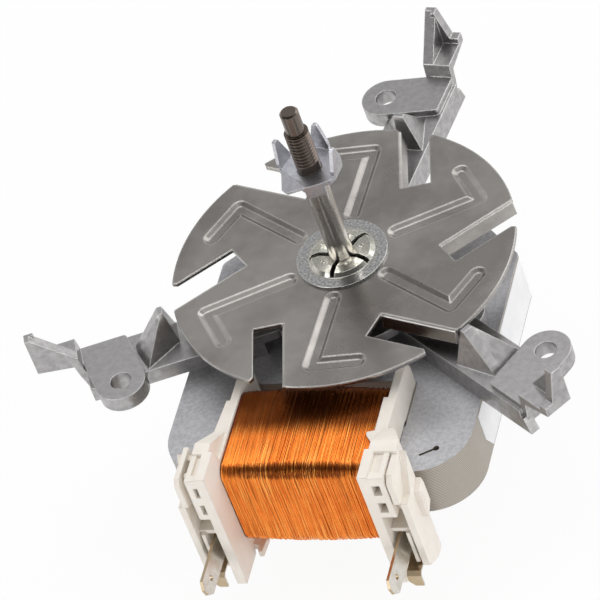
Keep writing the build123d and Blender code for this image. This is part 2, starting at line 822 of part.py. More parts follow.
def terminal_clip(side):
    """The strip beside the blade that grips the winding's end, bent down to a point."""
    x0 = min(side * clip_in_x, side * (clip_in_x + clip_width))
    front = clip_front_y
    t = clip_thickness
    bend_z = clip_z - clip_bend_r
    strip = side_prism([(tower_back_y, clip_z), (front + clip_bend_r, clip_z), (front, bend_z),
                        (front, clip_bottom_z), (front + t, clip_bottom_z), (front + t, bend_z - 0.1),
                        (front + clip_bend_r + 0.2, clip_z - t), (tower_back_y, clip_z - t)], x0, clip_width)
    corner = prism([(x0 - 1, clip_bottom_z - 1), (x0 + clip_width - 1.2, clip_bottom_z - 1),
                    (x0 - 1, clip_bottom_z + 2.6)], 3, side_plane(front + 1.5))
    return strip - corner


def rating_label():
    """The bare paper label on the right-hand side of the stack."""
    top = stack_top_z - (stack_height - label_height) / 2
    low = top - label_height
    plane = Plane(origin=(stack_half_width, 0, 0), x_dir=(0, 1, 0), z_dir=(1, 0, 0))
    points = [(label_front_y, low + label_cut), (label_front_y + label_cut * 0.6, low), (label_back_y, low),
              (label_back_y, top), (label_front_y, top)]
    return extrude(plane * make_face(Polyline(*points, close=True)), label_thickness)


def bearing():
    """A self-aligning bearing with a ball-shaped outside."""
    ball = Pos(0, 0, bearing_mid_z) * Sphere(bearing_sphere_r)
    ball = ball & rod(bearing_sphere_r, bearing_bottom_z, bearing_bottom_z + bearing_len)
    return ball - rod(shaft_r + bearing_fit, bearing_bottom_z - 1, bearing_bottom_z + bearing_len + 1)


def felt():
    """The oil felt round the bearing."""
    top = cavity_top_z - felt_top_gap
    low = top - felt_h
    ring = rod(hub_cavity_r - felt_side_gap, low, top)
    return ring - rod(bearing_sphere_r + felt_side_gap, low - 1, top + 1)


def retainer():
    """The spring ring that holds the bearing in its seat, pressed into the cavity."""
    top = cavity_top_z - felt_top_gap - felt_h - retainer_gap
    low = top - retainer_h
    ring = rod(hub_cavity_r, low, top) - rod(bearing_sphere_r - 1.2, low - 1, top + 1)
    ball = Pos(0, 0, bearing_mid_z) * Sphere(bearing_sphere_r)
    return ring - ball


def rotor_core():
    """The laminated rotor body, with holes for the cage's bars."""
    body = rod(rotor_r, stack_bottom_z, stack_top_z) - rod(shaft_r, stack_bottom_z - 1, stack_top_z + 1)
    for place in PolarLocations(bar_circle_r, cage_bars):
        body -= place * Pos(0, 0, stack_mid_z) * Cylinder(bar_r, stack_height + 2)
    return body


def rotor_cage():
    """The cast cage: two end rings joined by bars."""
    body = Compound([])
    for low in (stack_top_z, stack_bottom_z - cage_ring_h):
        top = low + cage_ring_h
        body += rod(rotor_r - cage_step, low, top) - rod(cage_inner_r, low - 1, top + 1)
    for place in PolarLocations(bar_circle_r, cage_bars):
        body += place * Pos(0, 0, stack_mid_z) * Cylinder(bar_r, stack_height + 1)
    return body


def rotor_spacers():
    """Sleeves that stand on the rotor body round the shaft."""
    ring = rod(spacer_r, stack_top_z, spacer_top_z) - rod(shaft_r, stack_top_z - 1, spacer_top_z + 1)
    return Compound([ring, mirrored(ring)])


def thrust_washers():
    """Fibre washers between the sleeves and the bearings."""
    ring = rod(thrust_r, spacer_top_z, thrust_top_z) - rod(shaft_r, spacer_top_z - 1, thrust_top_z + 1)
    return Compound([ring, mirrored(ring)])


def thread_turns():
    """Ring grooves that stand for the thread's turns."""
    r = thread_d / 2
    turns = int((pilot_bottom_z - thread_start_z) / thread_pitch)
    points = [(r + 1, thread_start_z)]
    for k in range(turns):
        z = thread_start_z + k * thread_pitch
        points.append((r, z + thread_crest / 2))
        points.append((r - thread_depth, z + thread_pitch / 2))
        points.append((r, z + thread_pitch - thread_crest / 2))
    points.append((r + 1, thread_start_z + turns * thread_pitch))
    return turned(points)


def shaft():
    """The motor's shaft, with the star's seat, its flat, the thread and the pilot."""
    low = 2 * stack_mid_z - boss_top_z - shaft_end_gap
    seat_r = thread_d / 2
    body = rod(shaft_r, low, star_seat_z) + rod(seat_r, star_seat_z, pilot_bottom_z)
    body += rod(pilot_d / 2, pilot_bottom_z, shaft_tip_z)
    body = chamfer(body.edges().filter_by(GeomType.CIRCLE).group_by(Axis.Z)[-1], tip_chamfer)
    body = chamfer(body.edges().filter_by(GeomType.CIRCLE).group_by(Axis.Z)[0], tip_chamfer)
    body -= flat_cut(flat_top_z)
    groove = rod(shaft_r + 1, disc_seat_z - groove_width, disc_seat_z)
    groove -= rod(groove_d / 2, disc_seat_z - 2, disc_seat_z + 1)
    return body - groove - thread_turns()


def flat_cut(top):
    """The flat beside the shaft's thread, on the side towards the coil."""
    face = thread_d / 2 - flat_depth
    return Rot(0, 0, star_key_angle) * box(face, face + 5, -5, 5, star_seat_z, top)


def disc_seat():
    """The plain washer under the disc."""
    return rod(seat_washer_r, disc_seat_z, disc_bottom_z) - rod(shaft_r, disc_seat_z - 1, disc_bottom_z + 1)


def retaining_clip():
    """The open spring clip in the shaft's groove."""
    top = disc_seat_z
    ring = rod(shaft_r + clip_ring_width, top - groove_width, top) - rod(groove_d / 2, top - 2, top + 1)
    return ring - box(0, shaft_d, -clip_mouth / 2, clip_mouth / 2, top - 2, top + 1)


def slot_frame(k):
    """The frame of one slot: local x out along the slot, local y towards its folded edge."""
    return Rot(0, 0, slot_angle + 360.0 * k / slot_count)


def rib_path():
    """The centre line of one pressed rib, relative to its slot's direction."""
    inner = (rib_inner_r * cos(radians(rib_inner_turn)), rib_inner_r * sin(radians(rib_inner_turn)))
    corner = (rib_corner_r * cos(radians(rib_corner_turn)), rib_corner_r * sin(radians(rib_corner_turn)))
    end = (rib_end_r * cos(radians(rib_end_turn)), rib_end_r * sin(radians(rib_end_turn)))
    return inner, corner, end


def rib_band(width):
    """The rib's plan as a band with round ends."""
    inner, corner, end = rib_path()
    band = Sketch()
    for place in (inner, corner, end):
        band += Pos(*place) * Circle(width / 2)
    for a, b in ((inner, corner), (corner, end)):
        mid = ((a[0] + b[0]) / 2, (a[1] + b[1]) / 2)
        turn = degrees(atan2(b[1] - a[1], b[0] - a[0]))
        band += Pos(*mid) * Rot(0, 0, turn) * Rectangle(hypot(b[0] - a[0], b[1] - a[1]), width)
    return band


def rib_form(width, floor_width, top, depth):
    """A sunk rib with sloping walls, widest at the top."""
    slope = degrees(atan2((width - floor_width) / 2, depth))
    return extrude(Pos(0, 0, top - depth) * rib_band(floor_width), depth, taper=-slope)


def vane():
    """One bent vane in its slot's frame."""
    outer = sqrt(disc_r ** 2 - fold_offset ** 2) - 0.4
    fold = -fold_offset
    t = disc_thickness
    tip_z = disc_bottom_z - vane_drop + t
    profile = [(fold, disc_top_z), (fold - 0.6, disc_top_z - 0.35), (fold - vane_flare, tip_z),
               (fold - vane_flare + 0.85, tip_z - 0.3), (fold, disc_bottom_z),
               (fold + 0.5, disc_bottom_z), (fold + 0.5, disc_top_z)]
    plane = Plane(origin=(slot_inner, 0, 0), x_dir=(0, 1, 0), z_dir=(1, 0, 0))
    return extrude(plane * make_face(Polyline(*profile, close=True)), outer - slot_inner)


def cooling_disc():
    """The pressed disc: six sectors with bent vanes and sunk ribs."""
    body = rod(disc_r, disc_bottom_z, disc_top_z)
    for k in range(slot_count):
        far = fold_offset + slot_width
        slot = box(slot_inner, disc_r + 5, -far, -fold_offset, disc_bottom_z - 1, disc_top_z + 1)
        tip = Pos(sqrt(disc_r ** 2 - far ** 2), -far, disc_top_z)
        body -= slot_frame(k) * (slot + tip * Rot(0, 0, 45) * Box(tip_corner, tip_corner, 4))
    for k in range(slot_count):
        body += slot_frame(k) * vane()
        under = rib_form(rib_width + 0.2, rib_floor_width + 0.9, disc_bottom_z, rib_depth - 0.1)
        body += slot_frame(k) * under
        body -= slot_frame(k) * rib_form(rib_width, rib_floor_width, disc_top_z, rib_depth)
    return body - rod(shaft_r, disc_bottom_z - 2, disc_top_z + 1)


def hub_washer():
    """The domed washer with slits that grips the shaft above the disc."""
    z = disc_top_z
    t = washer_thickness
    shoulder = dome_height * 0.75
    mouth = dome_height * 0.45
    body = turned([(washer_r, z), (washer_r, z + t), (dome_r, z + t), (dome_r - 0.8, z + t + shoulder),
                   (dome_top_r, z + t + dome_height), (shaft_r, z + t + mouth), (shaft_r, z + mouth),
                   (dome_top_r, z + dome_height), (dome_r - 1.3, z + shoulder), (dome_r - 0.4, z)])
    for k in range(washer_slits):
        turn = washer_slit_angle + 360.0 * k / washer_slits
        half = washer_slit_width / 2
        body -= Rot(0, 0, turn) * box(washer_slit_in - 1, dome_r - 0.1, -half, half, z - 1, z + 4)
    for k in range(washer_slits):
        turn = washer_slit_angle + 360.0 * (k + 0.5) / washer_slits
        body -= Rot(0, 0, turn) * Pos(dimple_circle_r, 0, z + t + dome_height + 0.25) * Sphere(dimple_r)
    return body


def star_prong(height):
    """One bent tab standing at the plate's edge, tip up, with a rounded point."""
    half = star_tab_width / 2
    tip = star_tip_width / 2
    shoulder = height * 0.25
    face = make_face(Polyline((-half, -0.4), (half, -0.4), (half, shoulder), (tip, height), (-tip, height),
                              (-half, shoulder), close=True))
    face = fillet(face.vertices().group_by(Axis.Y)[-1], tip * 0.8)
    return extrude(Plane(origin=(0, 0, 0), x_dir=(0, 1, 0), z_dir=(1, 0, 0)) * face, -star_sheet)


def star_leaf():
    """The broad pointed leaf, bent part of the way down."""
    half = star_leaf_width / 2
    face = make_face(Polyline((-0.6, -half), (0, -half), (star_leaf_len, -0.8), (star_leaf_len, 0.8),
                              (0, half), (-0.6, half), close=True))
    return Rot(0, star_leaf_droop, 0) * extrude(face, -star_sheet)


def star_driver():
    """The pressed star with three prongs up, a leaf and a skirt down, keyed on the shaft's flat."""
    low = star_seat_z
    top = star_seat_z + star_thickness
    plate = rod(star_plate_r, low, top)
    bends = [(angle, star_up_r) for angle in star_up_angles]
    bends += [(star_leaf_angle, star_leaf_r), (star_skirt_angle, star_skirt_r)]
    for angle, reach in bends:
        plate -= Rot(0, 0, angle) * box(reach, reach + 9, -9, 9, low - 1, top + 1)
    prong = Rot(0, star_lean, 0) * star_prong(star_up_height + star_sheet)
    prong = Pos(star_up_r, 0, top - star_sheet + 0.4) * prong
    for angle in star_up_angles:
        plate += Rot(0, 0, angle) * prong
    plate += Rot(0, 0, star_leaf_angle) * Pos(star_leaf_r, 0, top) * star_leaf()
    plate += Rot(0, 0, star_skirt_angle) * Pos(star_skirt_r, 0, 0) * box(
        -star_sheet, 0, -star_tab_width / 2, star_tab_width / 2, low - star_skirt_height, low + 0.2)
    bore = rod(thread_d / 2 + star_fit, low - 4, top + 1)
    face = thread_d / 2 - flat_depth + star_fit
    key = Rot(0, 0, star_key_angle) * box(face, face + 5, -5, 5, low - 5, top + 1)
    return plate - (bore - key)


def write(shape, name):
    export_step(shape, "parts/" + name + ".step")


def main():
    os.makedirs("parts", exist_ok=True)
    write(front_bracket(), "front_bracket")
    write(rear_bracket(), "rear_bracket")
    write(stator_core(), "stator_core")
    write(coil_core(), "coil_core")
    write(coil(), "coil")
    write(bobbin(), "bobbin")
    for side, name in ((-1, "left"), (1, "right")):
        write(terminal_tab(side), "terminal_tab_" + name)
        write(terminal_clip(side), "terminal_clip_" + name)
    write(rating_label(), "rating_label")
    write(shading_rings(), "shading_rings")
    write(bracket_screws(), "bracket_screws")
    write(bracket_nuts(), "bracket_nuts")
    write(stack_rivets(), "stack_rivets")
    write(bearing(), "front_bearing")
    write(mirrored(bearing()), "rear_bearing")
    write(felt(), "front_felt")
    write(mirrored(felt()), "rear_felt")
    write(retainer(), "front_retainer")
    write(mirrored(retainer()), "rear_retainer")
    write(rotor_core(), "rotor_core")
    write(rotor_cage(), "rotor_cage")
    write(rotor_spacers(), "rotor_spacers")
    write(thrust_washers(), "thrust_washers")
    write(shaft(), "shaft")
    write(disc_seat(), "disc_seat")
    write(retaining_clip(), "retaining_clip")
    write(cooling_disc(), "cooling_disc")
    write(hub_washer(), "hub_washer")
    write(star_driver(), "star_driver")


main()
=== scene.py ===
"""Looks for the oven fan motor: its finishes, its wound wire, the floor, the light and the camera."""

import logging
import math
from dataclasses import dataclass
from enum import Enum
from typing import Any, ClassVar, Dict, List, Optional, Tuple

import bpy
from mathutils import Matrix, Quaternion, Vector
from mathutils.noise import noise as smooth_noise


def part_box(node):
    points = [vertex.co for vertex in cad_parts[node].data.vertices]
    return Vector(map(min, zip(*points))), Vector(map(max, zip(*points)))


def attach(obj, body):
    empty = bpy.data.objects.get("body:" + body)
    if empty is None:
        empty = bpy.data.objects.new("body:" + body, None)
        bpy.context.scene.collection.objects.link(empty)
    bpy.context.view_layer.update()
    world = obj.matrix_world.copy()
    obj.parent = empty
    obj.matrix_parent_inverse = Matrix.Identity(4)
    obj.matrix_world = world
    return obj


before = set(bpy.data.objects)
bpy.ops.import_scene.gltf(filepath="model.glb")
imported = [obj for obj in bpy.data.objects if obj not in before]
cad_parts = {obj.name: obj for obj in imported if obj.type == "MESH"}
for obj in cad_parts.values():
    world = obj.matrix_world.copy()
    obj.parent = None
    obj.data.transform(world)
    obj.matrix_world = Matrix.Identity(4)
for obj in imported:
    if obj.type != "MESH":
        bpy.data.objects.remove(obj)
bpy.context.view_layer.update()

LOG = logging.getLogger("oven_fan_motor")
MM = 0.001
Colour = Tuple[float, float, float, float]
Place = Tuple[float, float, float]
Range = Tuple[float, float]
Path = List[Tuple[Vector, Vector]]
Socket = bpy.types.NodeSocket
Tree = bpy.types.NodeTree

# Octaves of the small and the large noises, and the share of each octave in the one before.
FINE_DETAIL = 2.0
CLOUD_DETAIL = 4.0
OCTAVE_SHARE = 0.6
BEVEL_SAMPLES = 4


class Finish(Enum):
    """The surfaces that the motor's pieces are given, by the name of the real one."""

    DISC = "cold_rolled_steel_pressed"
    CASTING = "aluminium_die_cast"
    LAMINATION = "silicon_steel_stamped"
    WIRE = "copper_wire_enamelled"
    # The coil under the wire: its darker brown is painted shade between the strands.
    WOUND_CORE = "copper_layers_painted_shade"
    BOBBIN = "polyamide_moulded"
    TERMINAL = "brass_tin_plated_stamped"
    WASHER = "spring_steel_passivated"
    SPRING = "spring_steel_zinc_plated"
    SHAFT = "carbon_steel_ground"
    STAR = "steel_sheet_zinc_pressed"
    PAPER = "paper_coated"
    FASTENER = "steel_zinc_headed"
    BRONZE = "bronze_sintered"
    FELT = "wool_felt_oiled"
    COPPER = "copper_bar_drawn"
    BRASS = "brass_turned"
    FIBRE = "vulcanised_fibre_punched"


def linear(hex_code: str) -> Colour:
    """Turns an sRGB hex colour to linear RGBA.

    Args:
        hex_code: The colour as "#rrggbb".

    Returns:
        The linear red, green and blue, and an alpha of 1.
    """
    parts = [int(hex_code[i:i + 2], 16) / 255.0 for i in (1, 3, 5)]
    rgb = [p / 12.92 if p <= 0.04045 else ((p + 0.055) / 1.055) ** 2.4 for p in parts]
    return rgb[0], rgb[1], rgb[2], 1.0


def per_mm(size_mm: float) -> float:
    """Returns the texture scale at which one feature is about size_mm across."""
    return 1.0 / (size_mm * MM)


def add_node(tree: Tree, kind: str, inputs: Optional[Dict[Any, Any]] = None,
             **settings: Any) -> bpy.types.Node:
    """Adds one node with its settings, values and links.

    Args:
        tree: The node tree that gets the node.
        kind: The node's Blender type name.
        inputs: Socket name or index, to a value, to the socket that feeds it or to a node's first output.
        settings: The node's own properties.

    Returns:
        The new node.
    """
    node = tree.nodes.new(kind)
    for name, value in settings.items():
        setattr(node, name, value)
    for socket, value in (inputs or {}).items():
        if isinstance(value, bpy.types.Node):
            value = value.outputs[0]
        if isinstance(value, bpy.types.NodeSocket):
            tree.links.new(value, node.inputs[socket])
        else:
            node.inputs[socket].default_value = value
    return node


@dataclass(frozen=True)
class Surface:
    """A finish with cloudy colour, uneven gloss, a fine grain and softened edges.

    Attributes:
        colour: Its main colour.
        cloud: The colour of its cloudy patches.
        cloud_mm: How large those patches are.
        cloud_share: How much of the cloud colour a patch takes.
        cloud_range: Noise values at which a patch starts and is full.
        metallic: 1 for bare metal.
        roughness: Its mean roughness.
        roughness_spread: How far the roughness varies both ways.
        roughness_range: Noise values at which it is smoothest and roughest.
        grain_mm: The size of the surface grain.
        grain_strength: How strongly the grain shows in the light.
        grain_depth_mm: The depth of the grain.
        edge_mm: How far its edges are rounded.
        edge_wear_highlight_colour: The paler colour of its edges, partly rubbed wear and partly a painted
            highlight, or None.
        edge_wear_highlight_range: Cosines between the plain and the rounded normal at which the paler edge
            starts and is full.
        edge_wear_highlight_share: How much of the edge colour shows there.
        ior: Its index of refraction, left out for metals.
        subsurface: How much light goes into it.
        subsurface_mm: How deep red, green and blue light go in.
    """

    colour: str
    cloud: str
    cloud_mm: float = 3.0
    cloud_share: float = 1.0
    cloud_range: Range = (0.38, 0.62)
    metallic: float = 1.0
    roughness: float = 0.4
    roughness_spread: float = 0.05
    roughness_range: Range = (0.3, 0.7)
    grain_mm: float = 0.4
    grain_strength: float = 0.2
    grain_depth_mm: float = 0.05
    edge_mm: float = 0.2
    # Paler edges: partly rubbed wear and partly a painted highlight.
    edge_wear_highlight_colour: Optional[str] = None
    edge_wear_highlight_range: Range = (0.99, 0.88)
    edge_wear_highlight_share: float = 0.8
    ior: Optional[float] = None
    subsurface: float = 0.0
    subsurface_mm: Place = (1.2, 1.0, 0.8)

    def build(self, name: str) -> bpy.types.Material:
        """Builds the material.

        Args:
            name: The material's name.

        Returns:
            The material.
        """
        material = bpy.data.materials.new(name)
        material.use_nodes = True
        tree = material.node_tree
        tree.nodes.clear()
        coords = add_node(tree, "ShaderNodeTexCoord").outputs["Object"]
        patches = add_node(tree, "ShaderNodeTexNoise", {"Vector": coords, "Scale": per_mm(self.cloud_mm),
                                                        "Detail": CLOUD_DETAIL, "Roughness": OCTAVE_SHARE})
        share = add_node(tree, "ShaderNodeMapRange", {
            "Value": patches, "From Min": self.cloud_range[0], "From Max": self.cloud_range[1],
            "To Max": self.cloud_share})
        base = add_node(tree, "ShaderNodeMix", {0: share, 6: linear(self.colour), 7: linear(self.cloud)},
                        data_type="RGBA").outputs[2]
        rounded = add_node(tree, "ShaderNodeBevel", {"Radius": self.edge_mm * MM},
                           samples=BEVEL_SAMPLES).outputs[0]
        # Pales the edges: partly rubbed wear and partly a painted highlight.
        colour = self.pale_edges_wear_and_highlight(tree, rounded, self.mark(tree, coords, base))
        bump = add_node(tree, "ShaderNodeBump", {
            "Height": self.relief(tree, coords), "Strength": self.grain_strength,
            "Distance": self.grain_depth_mm * MM, "Normal": rounded})
        rough = add_node(tree, "ShaderNodeMapRange", {
            "Value": patches, "From Min": self.roughness_range[0], "From Max": self.roughness_range[1],
            "To Min": self.roughness - self.roughness_spread,
            "To Max": self.roughness + self.roughness_spread})
        shader = add_node(tree, "ShaderNodeBsdfPrincipled", {
            "Base Color": colour, "Metallic": self.metallic, "Roughness": rough, "Normal": bump})
        if self.ior is not None:
            shader.inputs["IOR"].default_value = self.ior
        if self.subsurface:
            shader.inputs["Subsurface Weight"].default_value = self.subsurface
            shader.inputs["Subsurface Radius"].default_value = [depth * MM for depth in self.subsurface_mm]
        add_node(tree, "ShaderNodeOutputMaterial", {"Surface": shader})
        return material

    def mark(self, tree: Tree, coords: Socket, colour: Socket) -> Socket:
        """Returns the colour as it is; other surfaces add their own marks."""
        return colour

    def relief(self, tree: Tree, coords: Socket) -> Socket:
        """Returns the height of the fine grain."""
        return self.grain(tree, coords, self.grain_mm)

    def grain(self, tree: Tree, coords: Socket, size_mm: float) -> Socket:
        """Makes the noise that every fine grain is drawn with.

        Args:
            tree: The node tree.
            coords: Coordinates, stretched where the grain is drawn out.
            size_mm: The size of one grain.

        Returns:
            The noise, 0 to 1.
        """
        return add_node(tree, "ShaderNodeTexNoise", {
            "Vector": coords, "Scale": per_mm(size_mm), "Detail": FINE_DETAIL,
            "Roughness": OCTAVE_SHARE}).outputs[0]

    def pale_edges_wear_and_highlight(self, tree: Tree, rounded: Socket, colour: Socket) -> Socket:
        """Pales the edges, where the rounded normal turns away from the plain one: rubbed wear and a
        painted highlight.

        Args:
            tree: The node tree.
            rounded: The normal with its edges rounded.
            colour: The colour away from the edges.

        Returns:
            The colour with its paler edges.
        """
        if self.edge_wear_highlight_colour is None:
            return colour
        plain = add_node(tree, "ShaderNodeNewGeometry").outputs["Normal"]
        turn = add_node(tree, "ShaderNodeVectorMath", {0: rounded, 1: plain}, operation="DOT_PRODUCT")
        edge = add_node(tree, "ShaderNodeMapRange", {
            "Value": turn.outputs["Value"], "From Min": self.edge_wear_highlight_range[0], "From Max": self.edge_wear_highlight_range[1],
            "To Max": self.edge_wear_highlight_share})
        return add_node(tree, "ShaderNodeMix", {0: edge, 6: colour, 7: linear(self.edge_wear_highlight_colour)},
                        data_type="RGBA").outputs[2]


@dataclass(frozen=True)
class RolledSheet(Surface):
    """Sheet metal with the fine straight lines that rolling leaves.

    Attributes:
        line_mm: The pitch of the rolling lines, drawn coarser than the real 0.1 mm so that they show.
        line_stretch: The scale along the lines, as a share of the scale across them.
        speck: The colour of the small bright specks that handling leaves.
        speck_mm: The size of a speck.
        speck_range: Noise values at which a speck starts and is full.
        speck_share: How much of the speck's colour shows.
    """

    line_mm: float = 0.35
    line_stretch: float = 0.12
    speck: str = "#d8d5d1"
    speck_mm: float = 0.5
    speck_range: Range = (0.66, 0.78)
    speck_share: float = 0.4

    def relief(self, tree: Tree, coords: Socket) -> Socket:
        """Draws the rolling lines, which run along X.

        Args:
            tree: The node tree.
            coords: Coordinates in the part's frame.

        Returns:
            The height of the lines.
        """
        drawn = add_node(tree, "ShaderNodeVectorMath", {0: coords, 1: (self.line_stretch, 1.0, 1.0)},
                         operation="MULTIPLY").outputs[0]
        return self.grain(tree, drawn, self.line_mm)

    def mark(self, tree: Tree, coords: Socket, colour: Socket) -> Socket:
        """Adds small bright specks.

        Args:
            tree: The node tree.
            coords: Coordinates in the part's frame.
            colour: The colour of the plain sheet.

        Returns:
            The colour with its specks.
        """
        fine = add_node(tree, "ShaderNodeTexNoise", {"Vector": coords, "Scale": per_mm(self.speck_mm),
                                                     "Detail": FINE_DETAIL})
        bright = add_node(tree, "ShaderNodeMapRange", {
            "Value": fine, "From Min": self.speck_range[0], "From Max": self.speck_range[1],
            "To Max": self.speck_share})
        return add_node(tree, "ShaderNodeMix", {0: bright, 6: colour, 7: linear(self.speck)},
                        data_type="RGBA").outputs[2]


@dataclass(frozen=True)
class SheetStack(Surface):
    """Stamped sheets in a stack: plain faces, and sides lined sheet by sheet.

    Attributes:
        sheet_mm: The thickness of one sheet.
        waver_mm: The length over which the lines waver.
        waver_sheets: How many sheets they waver by.
        side_colour: The warm colour of the cut sides.
        line_colour: The darker colour between two sheets.
        side_range: How upright a normal is where the flat faces end and where the sides start.
        step_share: The height of the steps between sheets, as a share of the grain's.
    """

    sheet_mm: float = 0.5
    waver_mm: float = 6.0
    waver_sheets: float = 0.35
    side_colour: str = "#c3bcb2"
    line_colour: str = "#979088"
    side_range: Range = (0.8, 0.4)
    step_share: float = 1.2

    def sheets(self, tree: Tree, coords: Socket) -> Socket:
        """Draws a wave that repeats once for each sheet.

        Args:
            tree: The node tree.
            coords: Coordinates in the part's frame.

        Returns:
            The wave, 0 to 1.
        """
        height = add_node(tree, "ShaderNodeSeparateXYZ", {0: coords}).outputs["Z"]
        waver = add_node(tree, "ShaderNodeTexNoise", {"Vector": coords, "Scale": per_mm(self.waver_mm),
                                                      "Detail": FINE_DETAIL})
        count = add_node(tree, "ShaderNodeMath", {0: height, 1: per_mm(self.sheet_mm)},
                         operation="MULTIPLY")
        shifted = add_node(tree, "ShaderNodeMath", {0: waver, 1: self.waver_sheets, 2: count},
                           operation="MULTIPLY_ADD")
        angle = add_node(tree, "ShaderNodeMath", {0: shifted, 1: math.tau}, operation="MULTIPLY")
        wave = add_node(tree, "ShaderNodeMath", {0: angle}, operation="SINE")
        return add_node(tree, "ShaderNodeMath", {0: wave, 1: 0.5, 2: 0.5},
                        operation="MULTIPLY_ADD").outputs[0]

    def side(self, tree: Tree) -> Socket:
        """Tells the cut sides from the flat faces.

        Args:
            tree: The node tree.

        Returns:
            1 on the sides and 0 on the faces.
        """
        normal = add_node(tree, "ShaderNodeNewGeometry").outputs["Normal"]
        upward = add_node(tree, "ShaderNodeSeparateXYZ", {0: normal}).outputs["Z"]
        upright = add_node(tree, "ShaderNodeMath", {0: upward}, operation="ABSOLUTE")
        return add_node(tree, "ShaderNodeMapRange", {"Value": upright, "From Min": self.side_range[0],
                                                     "From Max": self.side_range[1]}).outputs[0]

    def mark(self, tree: Tree, coords: Socket, colour: Socket) -> Socket:
        """Adds the lined sides.

        Args:
            tree: The node tree.
            coords: Coordinates in the part's frame.
            colour: The colour of the flat faces.

        Returns:
            The colour of both.
        """
        lines = add_node(tree, "ShaderNodeMix", {
            0: self.sheets(tree, coords), 6: linear(self.line_colour), 7: linear(self.side_colour)},
            data_type="RGBA").outputs[2]
        return add_node(tree, "ShaderNodeMix", {0: self.side(tree), 6: colour, 7: lines},
                        data_type="RGBA").outputs[2]

    def relief(self, tree: Tree, coords: Socket) -> Socket:
        """Adds the steps between the sheets to the grain of the faces.

        Args:
            tree: The node tree.
            coords: Coordinates in the part's frame.

        Returns:
            The height of both.
        """
        grain = self.grain(tree, coords, self.grain_mm)
        steps = add_node(tree, "ShaderNodeMath", {0: self.sheets(tree, coords), 1: self.side(tree)},
                         operation="MULTIPLY")
        return add_node(tree, "ShaderNodeMath", {0: steps, 1: self.step_share, 2: grain},
                        operation="MULTIPLY_ADD").outputs[0]


